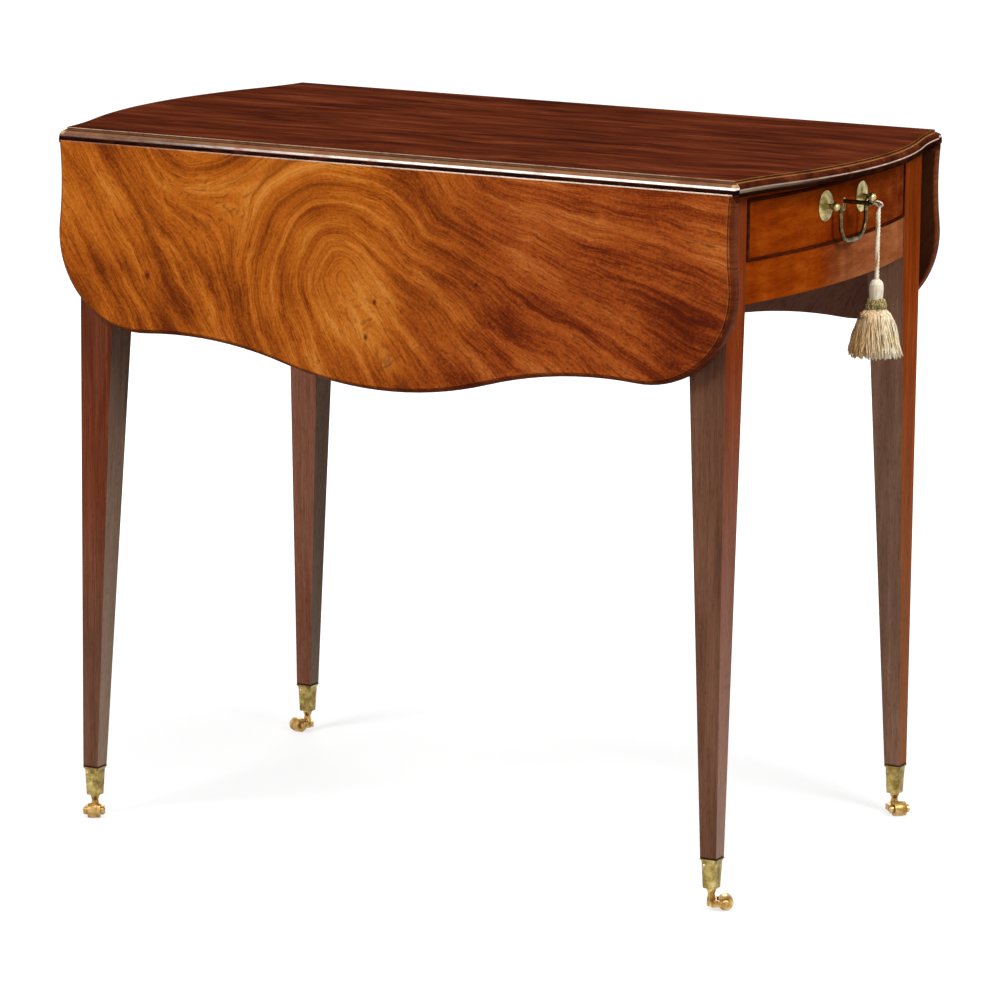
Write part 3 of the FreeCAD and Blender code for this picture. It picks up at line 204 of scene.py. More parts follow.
leg_shades_and_painted_light = {
    "front_right": (dull_brown, dull_brown, chestnut, "#A58C7E"),
    "front_left": (warm_red, dull_brown, grey_brown, "#9A8272"),
    "back_left": (pale_red, pale_red, grey_brown, "#93806F"),
    "back_right": (pale_brown, pale_brown, orange_red, "#98694A"),
}
for corner, shades in leg_shades_and_painted_light.items():
    leg_finish = grained_wood(
        "leg_mahogany_waxed_" + corner,
        straight_lay("Z"),
        leg_paint(*shades),
        streak=0.009,
        reach=0.30,
        waver=0.010,
        weights=(0.40, 0.26, 0.34),
        pore_depth=0.25,
        roughness=0.46,
        gloss=0.0,
    )
    finish_nodes(["leg_" + corner], leg_finish)

# Carcase: rails, fly brackets, runners and kickers of plain sawn beech. Nobody polished them, so they are
# dry, dull and brown with age.


def evenly(stops):
    """A paint that runs one tone through a ramp of shades."""
    return lambda tree, tone: put(tree, "ValToRGB", {"Fac": tone}, stops=stops)


carcase_finish = grained_wood(
    "carcase_beech_dry",
    straight_lay("X"),
    evenly([(0.36, "#46301F"), (0.5, "#66482E"), (0.64, "#84623E")]),
    streak=0.010,
    reach=0.25,
    waver=0.008,
    weights=(0.42, 0.25, 0.33),
    pore_depth=0.25,
    roughness=0.7,
    gloss=0.15,
)
side_parts = ("side_rail", "fly_hinge_block", "fly_stop_block", "fly_bracket")
finish_nodes([part + "_" + side for part in side_parts for side in ("front", "back")], carcase_finish)
finish_nodes(["drawer_runners", "drawer_kickers"], carcase_finish)

# Table top: one wide board of dark red mahogany with straight grain along its length, French polished. Its
# ends carry a moulding cut with a scratch stock, and hands have worn the arrises of that moulding pale.
# Painted highlights, a painted reflection and painted shadows lie along the end mouldings and the rule
# joints.
top_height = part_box("table_top")[1].z
rule_line = 0.2330
worn_corner = 0.3755
flat_facing = 0.96
rub_size = 0.0222
# Wear and painted light on the edges by place: where each starts and is full, and what is left of it before
# the start
near_start = -0.09
near_full = -0.22
highlight_start = -0.30
highlight_full = 0.10
highlight_least = 0.08
far_highlight_start = -0.20
far_highlight_full = 0.06
far_highlight_least = 0.30
top_red = [(0.38, "#2C1009"), (0.45, "#3D180D"), (0.51, "#4A1F10"), (0.57, "#562714"), (0.66, "#68341E")]


def band_mask(tree, place, middle, half_width, strength):
    """Strength within half_width of the middle of a coordinate, with a soft edge, and nothing beyond."""
    gap = put(tree, "Math", {0: place, 1: middle}, operation="SUBTRACT")
    away = put(tree, "Math", {0: gap}, operation="ABSOLUTE")
    soft = {"Value": away, "From Min": half_width, "From Max": half_width * 0.6, "To Max": strength}
    return put(tree, "MapRange", soft, clamp=True)


def top_wear_and_painted_light(tree, tone):
    """Dark red shades on the flat. On the edges, bands of height: the arris and the quirk rubbed golden under
    a painted highlight, a painted highlight on the fillet under the ovolo with a painted reflection at the
    near end and a painted shadow below it, and along the leaves a paler tan band, the arris rubbed pale under
    a painted highlight, a painted highlight on the crown of the round and a painted shadow under it. The near
    corners of the round are worn to bare wood."""
    where = put(tree, "TexCoord", out="Object")
    x, y, z = put(tree, "SeparateXYZ", {"Vector": where}).node.outputs
    aside = put(tree, "Math", {0: y}, operation="ABSOLUTE")
    at_leaf = put(tree, "Math", {0: aside, 1: rule_line}, operation="GREATER_THAN")
    at_end = put(tree, "Math", {0: 1.0, 1: at_leaf}, operation="SUBTRACT")
    near = put(tree, "MapRange", {"Value": y, "From Min": near_start, "From Max": near_full}, clamp=True)
    highlight_reach = {"Value": x, "From Min": highlight_start, "From Max": highlight_full, "To Min": highlight_least}
    highlight_fade = put(tree, "MapRange", highlight_reach, clamp=True)
    far_highlight_reach = {"Value": y, "From Min": far_highlight_start, "From Max": far_highlight_full, "To Min": far_highlight_least}
    far_highlight = put(tree, "MapRange", far_highlight_reach, clamp=True)
    length = put(tree, "Math", {0: x}, operation="ABSOLUTE")
    outer = put(tree, "Math", {0: length, 1: worn_corner}, operation="GREATER_THAN")
    painted_highlight = put(tree, "Math", {0: highlight_fade, 1: at_leaf}, operation="MULTIPLY")
    near_end = put(tree, "Math", {0: near, 1: at_end}, operation="MULTIPLY")
    far_end = put(tree, "Math", {0: far_highlight, 1: at_end}, operation="MULTIPLY")
    near_leaf = put(tree, "Math", {0: near, 1: at_leaf}, operation="MULTIPLY")
    bare = put(tree, "Math", {0: outer, 1: near_leaf}, operation="MULTIPLY")
    upward = put(tree, "SeparateXYZ", {"Vector": put(tree, "TexCoord", out="Normal")}, out="Z")
    lying = put(tree, "Math", {0: upward}, operation="ABSOLUTE")
    upright = put(tree, "Math", {0: lying, 1: flat_facing}, operation="LESS_THAN")
    rubbed = put(tree, "TexNoise", {"Vector": where, "Scale": 1 / rub_size, "Detail": 3.0}, out="Fac")
    patches = {"Value": rubbed, "From Min": 0.3, "From Max": 0.55, "To Min": 0.45}
    patchy = put(tree, "MapRange", patches, clamp=True)
    colour = put(tree, "ValToRGB", {"Fac": tone}, stops=top_red)
    # A band has its drop below the face of the top, half its width, its strength, its shade and its place
    for drop, half_width, strength, shade, stretch in (
        # Painted shadow under the end moulding.
        (0.0138, 0.0040, 0.88, "#150A06", at_end),
        # Painted reflection on the lower fillet, at the near end.
        (0.0100, 0.0022, 0.65, "#94846C", near_end),
        # Painted highlight on the fillet under the ovolo, strongest at the far end.
        (0.0089, 0.0008, 0.95, "#F2D6C0", far_end),
        # The arris and the quirk at the ends, rubbed golden under a painted highlight.
        (0.0002, 0.0006, 0.65, "#AF8048", at_end),
        (0.0024, 0.0006, 0.55, "#A2733C", at_end),
        # Painted shadow under the round along the leaves.
        (0.0108, 0.0026, 0.95, "#120706", at_leaf),
        (0.0036, 0.0030, 0.45, "#957050", at_leaf),
        # Painted highlight on the crown of the round, fading to the left.
        (0.0072, 0.0013, 0.95, "#FFF2E8", painted_highlight),
        # The arris along the leaves, rubbed pale under a painted highlight.
        (0.0002, 0.0006, 0.75, "#E0BF9F", at_leaf),
        (0.0046, 0.0022, 0.60, "#B99A6C", bare),
    ):
        cover = band_mask(tree, z, top_height - drop, half_width, strength)
        for limit in (stretch, upright, patchy):
            cover = put(tree, "Math", {0: cover, 1: limit}, operation="MULTIPLY")
        colour = put(tree, "Mix", {"Factor": cover, 6: colour, 7: linear(shade)}, out=2, data_type="RGBA")
    return colour


top_finish = grained_wood(
    "top_mahogany_french_polished",
    straight_lay("X"),
    top_wear_and_painted_light,
    streak=0.012,
    reach=0.22,
    waver=0.06,
    weights=(0.36, 0.14, 0.50),
    pore_depth=0.3,
    roughness=0.4,
    gloss=0.0,
)
finish_nodes(["table_top"], top_finish)

# Leaves: two boards of figured mahogany, hung on rule joints. The grain runs steeply down at the left and
# flattens out to the right, and arches round a focus where a branch grew. Polished outside, dark inside.
leaf_outer_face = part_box("leaf_back")[1].y
leaf_thickness_side = 0.2375
leaf_top_arris = 0.7073
arch_focus = (-0.045, 0.0, 0.588)
arch_slope = math.radians(-55.0)
arch_near = 0.10
arch_far = 0.26
arch_crest = 0.010
left_fan = 0.60
right_fan = 0.20
bend_size = 0.1111
bend_reach = 0.035
figure_squeeze = 0.62


def contour_lay(flip):
    """Grain along the contours of the distance from a slanting half-line. Behind its start, the focus, they
    are half circles that die out between arch_near and arch_far. Ahead of it they fan out from the half-line,
    by 1 + (distance ahead) / fan, faster at its right than at its left."""

    def lay(tree):
        where = put(tree, "TexCoord", out="Object")
        flat = put(tree, "VectorMath", {0: where, 1: (flip, 0.0, 1.0)}, operation="MULTIPLY")
        drift = put(tree, "TexNoise", {"Vector": flat, "Scale": 1 / bend_size, "Detail": 3.0}, out="Color")
        centred = put(tree, "VectorMath", {0: drift, 1: (0.5, 0.5, 0.5)}, operation="SUBTRACT")
        bend = {0: centred, 1: (bend_reach, 0.0, bend_reach), 2: flat}
        bent = put(tree, "VectorMath", bend, operation="MULTIPLY_ADD")
        away = put(tree, "VectorMath", {0: bent, 1: arch_focus}, operation="SUBTRACT")
        course = (math.cos(arch_slope), 0.0, math.sin(arch_slope))
        square = (-math.sin(arch_slope), 0.0, math.cos(arch_slope))
        along = put(tree, "VectorMath", {0: away, 1: course}, out="Value", operation="DOT_PRODUCT")
        aside = put(tree, "VectorMath", {0: away, 1: square}, out="Value", operation="DOT_PRODUCT")
        ahead = put(tree, "Math", {0: along, 1: 0.0}, operation="MAXIMUM")
        behind = put(tree, "Math", {0: along, 1: 0.0}, operation="MINIMUM")
        flanks = []
        for half, fan in (("MINIMUM", left_fan), ("MAXIMUM", right_fan)):
            spread = put(tree, "Math", {0: ahead, 1: 1 / fan, 2: 1.0}, operation="MULTIPLY_ADD")
            flank = put(tree, "Math", {0: aside, 1: 0.0}, operation=half)
            flanks.append(put(tree, "Math", {0: flank, 1: spread}, operation="DIVIDE"))
        fanned = put(tree, "Math", {0: flanks[0], 1: flanks[1]}, operation="ADD")
        gap = put(tree, "CombineXYZ", {"X": along, "Y": aside})
        far = put(tree, "VectorMath", {0: gap}, out="Value", operation="LENGTH")
        arch = {"Value": far, "From Min": arch_near, "From Max": arch_far, "To Min": 1.0, "To Max": 0.0}
        arched = put(tree, "MapRange", arch, interpolation_type="SMOOTHSTEP")
        round_back = put(tree, "Math", {0: behind, 1: arched}, operation="MULTIPLY")
        clear = put(tree, "CombineXYZ", {"X": round_back, "Y": fanned, "Z": arch_crest})
        raised = put(tree, "VectorMath", {0: clear}, out="Value", operation="LENGTH")
        across = put(tree, "Math", {0: raised, 1: figure_squeeze}, operation="MULTIPLY")
        return put(tree, "CombineXYZ", {"X": along, "Y": across})

    return lay


# What shifts the tone and the shade over a leaf: how much, and between which places it comes in
patch_size = 0.125
patch_depth = 0.38
patch_middle = 0.180
fleck_size = 0.002632
fleck_depth = 0.16
focus_glow = 0.045
focus_glow_near = 0.03
focus_glow_far = 0.15
end_glow = 0.026
end_glow_start = 0.25
end_glow_full = 0.33
red_start = -0.03
red_full = 0.14
low_start = 0.56
low_full = 0.47
low_least = 0.45
low_most = 0.85
patch_red = -0.9
face_facing = 0.9
edge_cover = 0.8
arris_half = 0.0009
arris_cover = 0.7
rim_half = 0.0006
rim_cover = 0.75
inside_cover = 0.92
end_shade_start = 0.335
end_shade_end = 0.362
leaf_gold = [(0.38, "#6A2C09"), (0.45, "#8A420E"), (0.51, "#A35213"), (0.565, "#B3611A"), (0.66, "#C67C32")]
leaf_red = [(0.38, "#501A08"), (0.45, "#6C290C"), (0.51, "#8A3C13"), (0.565, "#9D4B1A"), (0.66, "#B4662F")]
# A knot has its place along the leaf, its height above the floor and its size
leaf_knots = (
    (-0.009, 0.573, 0.0042),
    (-0.019, 0.537, 0.0046),
    (-0.273, 0.578, 0.0060),
    (0.105, 0.600, 0.0030),
)
knot_shape = (1.5, 0.0, 1.0)
knot_cover = 0.8


def leaf_paint(flip):
    """Golden shades that turn redder and darker towards the drawer end, lightened by a painted sheen round
    the focus and at that end, a few small dark knots, a brown edge with a pale rubbed arris, a painted
    highlight along the hinge edge, and a dark unpolished inside that a painted shade darkens towards its
    ends."""

    def paint(tree, grain_tone):
        where = put(tree, "TexCoord", out="Object")
        x, y, z = put(tree, "SeparateXYZ", {"Vector": where}).node.outputs
        length = put(tree, "Math", {0: x, 1: flip}, operation="MULTIPLY")
        flat = put(tree, "VectorMath", {0: where, 1: (flip, 0.0, 1.0)}, operation="MULTIPLY")
        patch = put(tree, "TexNoise", {"Vector": where, "Scale": 1 / patch_size, "Detail": 3.0}, out="Fac")
        cloudy = put(tree, "Math", {0: patch, 1: patch_depth, 2: -patch_middle}, operation="MULTIPLY_ADD")
        fleck = put(tree, "TexNoise", {"Vector": where, "Scale": 1 / fleck_size, "Detail": 2.0}, out="Fac")
        flecked = put(tree, "Math", {0: fleck, 1: fleck_depth, 2: -fleck_depth / 2}, operation="MULTIPLY_ADD")
        # Painted sheen: the tone is lightened round the focus and at the leaf's end.
        gap = put(tree, "VectorMath", {0: flat, 1: arch_focus}, out="Value", operation="DISTANCE")
        glow = {"Value": gap, "From Min": focus_glow_near, "From Max": focus_glow_far}
        lit_focus = put(tree, "MapRange", {**glow, "To Min": focus_glow, "To Max": 0.0}, clamp=True)
        glow = {"Value": length, "From Min": end_glow_start, "From Max": end_glow_full, "To Max": end_glow}
        lit_end = put(tree, "MapRange", glow, clamp=True)
        tone = grain_tone
        for change in (cloudy, flecked, lit_focus, lit_end):
            tone = put(tree, "Math", {0: tone, 1: change}, operation="ADD")
        golden = put(tree, "ValToRGB", {"Fac": tone}, stops=leaf_gold)
        reddened = put(tree, "ValToRGB", {"Fac": tone}, stops=leaf_red)
        red_reach = {"Value": length, "From Min": red_start, "From Max": red_full}
        fall = put(tree, "MapRange", red_reach, clamp=True)
        low = {"Value": z, "From Min": low_start, "From Max": low_full}
        lowered = put(tree, "MapRange", {**low, "To Min": low_least, "To Max": low_most}, clamp=True)
        mottled = put(tree, "Math", {0: patch, 1: patch_red, 2: lowered}, operation="MULTIPLY_ADD")
        uneven = put(tree, "Math", {0: fall, 1: mottled}, operation="ADD", use_clamp=True)
        colour = put(tree, "Mix", {"Factor": uneven, 6: golden, 7: reddened}, out=2, data_type="RGBA")
        layers = []
        for knot_x, knot_z, size in leaf_knots:
            off = put(tree, "VectorMath", {0: where, 1: (knot_x * flip, 0.0, knot_z)}, operation="SUBTRACT")
            shaped = put(tree, "VectorMath", {0: off, 1: knot_shape}, operation="MULTIPLY")
            away = put(tree, "VectorMath", {0: shaped}, out="Value", operation="LENGTH")
            knot = {"Value": away, "From Min": size, "From Max": size * 0.3, "To Max": knot_cover}
            layers.append((put(tree, "MapRange", knot, clamp=True), linear("#34120A")))
        outward = put(tree, "SeparateXYZ", {"Vector": put(tree, "TexCoord", out="Normal")}, out="Y")
        broad = put(tree, "Math", {0: outward}, operation="ABSOLUTE")
        edge = put(tree, "Math", {0: broad, 1: face_facing}, operation="LESS_THAN")
        brown = put(tree, "Math", {0: edge, 1: edge_cover}, operation="MULTIPLY")
        aside = put(tree, "Math", {0: y}, operation="ABSOLUTE")
        arris = band_mask(tree, aside, leaf_outer_face, arris_half, arris_cover)
        rubbed = put(tree, "Math", {0: arris, 1: edge}, operation="MULTIPLY")
        outside = put(tree, "Math", {0: aside, 1: leaf_thickness_side}, operation="GREATER_THAN")
        highlight_reach = {"Value": length, "From Min": highlight_start, "From Max": highlight_full}
        highlight_fade = put(tree, "MapRange", {**highlight_reach, "To Min": highlight_least}, clamp=True)
        outer = put(tree, "Math", {0: highlight_fade, 1: outside}, operation="MULTIPLY")
        # Painted highlight along the top arris of the leaf's outer face, fading towards one end.
        rim = band_mask(tree, z, leaf_top_arris, rim_half, rim_cover)
        painted_highlight = put(tree, "Math", {0: rim, 1: outer}, operation="MULTIPLY")
        covered = put(tree, "Math", {0: outside, 1: edge}, operation="MAXIMUM")
        inside = put(tree, "Math", {0: inside_cover, 1: covered}, operation="SUBTRACT", use_clamp=True)
        # Painted shade darkens the inside towards both ends of the leaf.
        from_middle = put(tree, "Math", {0: length}, operation="ABSOLUTE")
        end_shade_reach = {"Value": from_middle, "From Min": end_shade_start, "From Max": end_shade_end}
        end_shade = put(tree, "MapRange", end_shade_reach, clamp=True)
        bare = {"Factor": end_shade, 6: linear("#745246"), 7: linear("#2E1A13")}
        dark = put(tree, "Mix", bare, out=2, data_type="RGBA")
        layers += [(brown, linear("#4A2010")), (rubbed, linear("#B98A5C")), (painted_highlight, linear("#F0DCC8"))]
        for cover, shade in layers + [(inside, dark)]:
            colour = put(tree, "Mix", {"Factor": cover, 6: colour, 7: shade}, out=2, data_type="RGBA")
        return colour

    return paint


for leaf, flip in (("leaf_front", 1.0), ("leaf_back", -1.0)):
    leaf_finish = grained_wood(
        leaf + "_figured_mahogany",
        contour_lay(flip),
        leaf_paint(flip),
        streak=0.0055,
        reach=0.20,
        waver=0.008,
        weights=(0.34, 0.22, 0.44),
        pore_depth=0.35,
        roughness=0.44,
        gloss=0.02,
    )
    finish_nodes([leaf], leaf_finish)

# Hinges: back-flap hinges and pins of wrought iron, let in under the boards. They came from the forge
# black, and have a thin brown bloom of rust.
bloom_size = 0.00625
iron_shades = [(0.35, "#2B2724"), (0.55, "#463D37"), (0.7, "#6A4B38")]
iron_finish, tree = new_finish("hinge_wrought_iron")
where = put(tree, "TexCoord", out="Object")
bloom = put(tree, "TexNoise", {"Vector": where, "Scale": 1 / bloom_size, "Detail": 4.0}, out="Fac")
iron_colour = put(tree, "ValToRGB", {"Fac": bloom}, stops=iron_shades)
iron_skin = put(tree, "BsdfPrincipled", {"Base Color": iron_colour, "Metallic": 0.85, "Roughness": 0.55})
put(tree, "OutputMaterial", {"Surface": iron_skin})
hinges = ["top_hinge_flaps", "leaf_hinge_flaps_front", "leaf_hinge_flaps_back", "hinge_pins"]
finish_nodes(hinges + ["fly_pins", "lock_bolt"], iron_finish)

# Frieze: drawer front, apron, top rail and sham front, veneered with bright red mahogany whose grain lies
# level. The ribbon figure crosses it in upright bars, which catch the light pale and dark by turns.
ribbon_width = 0.04
ribbon_length = 0.5
ribbon_depth = 0.4
frieze_near = [(0.36, "#732706"), (0.45, "#853305"), (0.52, "#913B08"), (0.60, "#9D450C"), (0.70, "#AE5719")]
frieze_far = [(0.36, "#541A08"), (0.45, "#66250B"), (0.52, "#732E0F"), (0.60, "#823A14"), (0.70, "#964C20")]
# Paler shades for the back of the apron, top rail and sham front: a painted reflection of the floor.
frieze_pale_reflection = [(0.36, "#824220"), (0.45, "#924F2A"), (0.52, "#9E5A34"), (0.60, "#AA663E"), (0.70, "#BA764C")]


def turning(far_shades, start, end):
    """A paint of orange shades that turn to others between two depths, towards the back of the table. Upright
    bars of the ribbon figure make the tone paler and darker by turns."""

    def paint(tree, grain_tone):
        where = put(tree, "TexCoord", out="Object")
        bar = (0.0, 1 / ribbon_width, 1 / ribbon_length)
        upright = put(tree, "VectorMath", {0: where, 1: bar}, operation="MULTIPLY")
        ribbon = put(tree, "TexNoise", {"Vector": upright, "Scale": 1.0, "Detail": 2.0}, out="Fac")
        bars = put(tree, "Math", {0: ribbon, 1: ribbon_depth, 2: -ribbon_depth / 2}, operation="MULTIPLY_ADD")
        tone = put(tree, "Math", {0: grain_tone, 1: bars}, operation="ADD")
        depth = put(tree, "SeparateXYZ", {"Vector": where}, out="Y")
        fall = put(tree, "MapRange", {"Value": depth, "From Min": start, "From Max": end}, clamp=True)
        near = put(tree, "ValToRGB", {"Fac": tone}, stops=frieze_near)
        far = put(tree, "ValToRGB", {"Fac": tone}, stops=far_shades)
        return put(tree, "Mix", {"Factor": fall, 6: near, 7: far}, out=2, data_type="RGBA")

    return paint


for veneer, paint, boards in (
    ("drawer_mahogany_veneer", turning(frieze_far, -0.03, 0.15), ["drawer_front"]),
    ("apron_mahogany_veneer", turning(frieze_pale_reflection, -0.05, 0.0), ["drawer_apron", "drawer_top_rail"]),
    ("sham_mahogany_veneer", turning(frieze_pale_reflection, -0.03, 0.15), ["sham_front"]),
):
    frieze_finish = grained_wood(
        veneer,
        straight_lay("Y"),
        paint,
        streak=0.008,
        reach=0.07,
        waver=0.03,
        weights=(0.36, 0.18, 0.46),
        pore_depth=0.15,
        roughness=0.34,
        gloss=0.0,
    )
    finish_nodes(boards, frieze_finish)

# Cock beads: thin half-round strips of mahogany let into the edges of the drawer and the sham drawer,
# stained nearly black and polished.
bead_finish = grained_wood(
    "cock_bead_stained_mahogany",
    straight_lay("Y"),
    evenly([(0.36, "#2A0F06"), (0.5, "#43190A"), (0.64, "#602A12")]),
    streak=0.006,
    reach=0.2,
    waver=0.004,
    weights=(0.5, 0.2, 0.3),
    pore_depth=0.2,
    roughness=0.3,
    gloss=0.0,
)
finish_nodes(["drawer_cock_bead", "sham_cock_bead"], bead_finish)

# Drawer box: sides, back and bottom of quartered oak, planed thin, dovetailed to the front and left bare.
# The oak is dry and fawn, with straight grain and open pores.
oak_finish = grained_wood(
    "drawer_oak_bare",
    straight_lay("X"),
    evenly([(0.36, "#6A4A2A"), (0.5, "#8C683E"), (0.64, "#A98856")]),
    streak=0.008,
    reach=0.3,
    waver=0.006,
    weights=(0.45, 0.25, 0.3),
    pore_depth=0.3,
    roughness=0.65,
    gloss=0.15,
)
finish_nodes(["drawer_side_front", "drawer_side_back", "drawer_back", "drawer_bottom"], oak_finish)

# Lock, handles and key: cast and turned brass, dulled by age. It has gone olive brown in the hollows and is
# rubbed pale where fingers reach it.


def aged_brass(name, stops, grain, roughness):
    """Brass with a mottled skin: patches of a size grain (metres) run from tarnish to bare metal."""
    finish, tree = new_finish(name)
    where = put(tree, "TexCoord", out="Object")
    mottle = {"Vector": where, "Scale": 1 / grain, "Detail": 5.0, "Roughness": 0.65}
    patches = put(tree, "TexNoise", mottle, out="Fac")
    colour = put(tree, "ValToRGB", {"Fac": patches}, stops=stops)
    rough_reach = {"Value": patches, "From Min": 0.35, "From Max": 0.7}
    rough_reach.update({"To Min": roughness + 0.18, "To Max": roughness - 0.05})
    rough = put(tree, "MapRange", rough_reach, clamp=True)
    relief = put(tree, "Bump", {"Height": patches, "Strength": 0.15, "Distance": 0.0004})
    skin = {"Base Color": colour, "Metallic": 1.0, "Roughness": rough, "Normal": relief}
    put(tree, "OutputMaterial", {"Surface": put(tree, "BsdfPrincipled", skin)})
    return finish


handle_finish = aged_brass(
    "handle_brass_aged",
    [(0.32, "#554622"), (0.46, "#92814A"), (0.58, "#C0AF76"), (0.70, "#EADDB0")],
    grain=0.012,
    roughness=0.32,
)
handles = ["handle_rosettes", "handle_posts", "sham_handle_rosettes", "sham_handle_posts"]
finish_nodes(handles + ["lock_case", "keyhole_liner"], handle_finish)
bail_finish = aged_brass(
    "bail_brass_dark",
    [(0.32, "#2A2314"), (0.5, "#51472A"), (0.62, "#7A6E44"), (0.75, "#B0A470")],
    grain=0.005,
    roughness=0.28,
)
finish_nodes(["handle_bail", "sham_handle_bail", "key"], bail_finish)

# Tassel: a cord of twisted silk looped over the key, with a wound head, a gold ruff and a skirt of loose
# threads. The silk is spun and dyed, so it has a soft sheen and its threads differ in shade.
eye_inset = 0.0011
key_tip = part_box("key")[1].x - eye_inset
lock_height = (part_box("key")[0].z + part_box("key")[1].z) / 2
cord_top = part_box("tassel_cord")[1].z
cord_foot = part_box("tassel_cord")[0].z
cord_radius = 0.0024
along_x, along_y, along_z = np.eye(3)
thread_stretch = 0.12
# The painted shade on the silk: the lit side, the reaches over which the shade comes in, and its tint.
lit_side = (0.87, 0.5, 0.0)
lit_reach = 0.014
shade_reach = -0.020
side_shade_tint = "#D2A75C"


def tube_points(paths, radius, ring, guide, spare):
    """Tubes round paths (..., points, 3): at each point a circle in the plane square to the path. The circle
    starts square to guide, or to spare where the path runs along guide. radius is one number or a grid that
    spreads over (..., points, ring)."""
    ahead = np.gradient(paths, axis=-2)
    ahead = ahead / np.linalg.norm(ahead, axis=-1, keepdims=True)
    crosswise = np.abs(ahead @ guide)[..., None] < 0.8
    first = np.cross(ahead, np.where(crosswise, guide, spare))
    first = first / np.linalg.norm(first, axis=-1, keepdims=True)
    second = np.cross(ahead, first)
    turn = np.linspace(0, 2 * np.pi, ring, endpoint=False)[:, None]
    circle = np.cos(turn) * first[..., None, :] + np.sin(turn) * second[..., None, :]
    reach = np.broadcast_to(radius, paths.shape[:-1] + (ring,))[..., None]
    return paths[..., None, :] + reach * circle


def tube_mesh(name, points, finish):
    """One mesh of closed tubes from a grid of points (tubes, rings, points of a ring, 3). One face caps each
    end of a tube."""
    corner = np.arange(points[..., 0].size).reshape(points.shape[:3])
    wrapped = np.concatenate([corner, corner[..., :1]], axis=2)
    low, high = wrapped[:, :-1], wrapped[:, 1:]
    quads = np.stack([low[..., :-1], low[..., 1:], high[..., 1:], high[..., :-1]], axis=-1)
    faces = quads.reshape(-1, 4).tolist() + corner[:, 0, ::-1].tolist() + corner[:, -1].tolist()
    mesh = bpy.data.meshes.new(name)
    mesh.from_pydata(points.reshape(-1, 3).tolist(), [], faces)
    mesh.polygons.foreach_set("use_smooth", [True] * len(mesh.polygons))
    mesh.update()
    mesh.materials.append(finish)
    piece = bpy.data.objects.new(name, mesh)
    bpy.context.scene.collection.objects.link(piece)
    return piece


def round_axis(out, angle, level):
    """Points at a distance out from the cord's axis, at an angle round it and at a level."""
    spread = np.broadcast_arrays(key_tip + out * np.cos(angle), out * np.sin(angle), level)
    return np.stack(spread, axis=-1)


def spun_silk(name, shades, grain, side_shade):
    """Silk thread: a soft sheen, with the shades of its threads mixed in specks of a size grain (metres). A
    painted shade darkens the side next to the table towards tan, by a share of 0 to 1."""
    finish, tree = new_finish(name)
    where = put(tree, "TexCoord", out="Object")
    thread = (1 / grain, 1 / grain, thread_stretch / grain)
    stretched = put(tree, "VectorMath", {0: where, 1: thread}, operation="MULTIPLY")
    specks = put(tree, "TexNoise", {"Vector": stretched, "Scale": 1.0, "Detail": 2.0}, out="Fac")
    unshaded = put(tree, "ValToRGB", {"Fac": specks}, stops=shades)
    # Painted shade: the side turned away from lit_side is multiplied by a tan.
    off_axis = put(tree, "VectorMath", {0: where, 1: (key_tip, 0.0, 0.0)}, operation="SUBTRACT")
    outward = put(tree, "VectorMath", {0: off_axis, 1: lit_side}, out="Value", operation="DOT_PRODUCT")
    turn = {"Value": outward, "From Min": lit_reach, "From Max": shade_reach, "To Max": side_shade}
    shaded = put(tree, "MapRange", turn, clamp=True)
    darkening = {"Factor": shaded, 6: unshaded, 7: linear(side_shade_tint)}
    colour = put(tree, "Mix", darkening, out=2, data_type="RGBA", blend_type="MULTIPLY")
    relief = put(tree, "Bump", {"Height": specks, "Strength": 0.3, "Distance": 0.0003})
    skin = {"Base Color": colour, "Roughness": 0.55, "Normal": relief, "Sheen Weight": 0.25}
    put(tree, "OutputMaterial", {"Surface": put(tree, "BsdfPrincipled", skin)})
    return finish


# Twisted cord: three plies of cream silk laid up into one cord that hangs straight from the key. Its radius
# has three lobes, which turn once in lay_length along it.
lay_length = 0.011
ring = 24
cord_shades = [(0.36, "#A87C4C"), (0.45, "#DCC49A"), (0.53, "#EFE3CA"), (0.7, "#F8F2E4")]
cord_silk = spun_silk("cord_silk_cream", cord_shades, grain=0.0022, side_shade=0.0)
route = [(key_tip, 0.0, cord_top), (key_tip, 0.0, (cord_top + cord_foot) / 2), (key_tip, 0.0, cord_foot)]
line = bpy.data.curves.new("cord_route", "CURVE")
line.dimensions = "3D"
spline = line.splines.new("NURBS")
spline.points.add(len(route) - 1)
for point, place in zip(spline.points, route):
    point.co = (*place, 1.0)
spline.order_u = 3
spline.use_endpoint_u = True
spline.resolution_u = 60
guide_line = bpy.data.objects.new("cord_route", line)
bpy.context.scene.collection.objects.link(guide_line)
bpy.context.view_layer.update()
drawn = bpy.data.meshes.new_from_object(guide_line.evaluated_get(bpy.context.evaluated_depsgraph_get()))
cord_path = np.array([tuple(v.co) for v in drawn.vertices])
bpy.data.objects.remove(guide_line)
travel = np.concatenate([[0.0], np.cumsum(np.linalg.norm(np.diff(cord_path, axis=0), axis=1))])
turn = np.linspace(0, 2 * np.pi, ring, endpoint=False)
lobes = np.abs(np.cos(1.5 * (turn - 2 * np.pi * travel[:, None] / lay_length)))
cord_points = tube_points(cord_path, cord_radius * (0.72 + 0.28 * lobes), ring, along_x, along_y)
cord = tube_mesh("tassel_twisted_cord", cord_points[None], cord_silk)

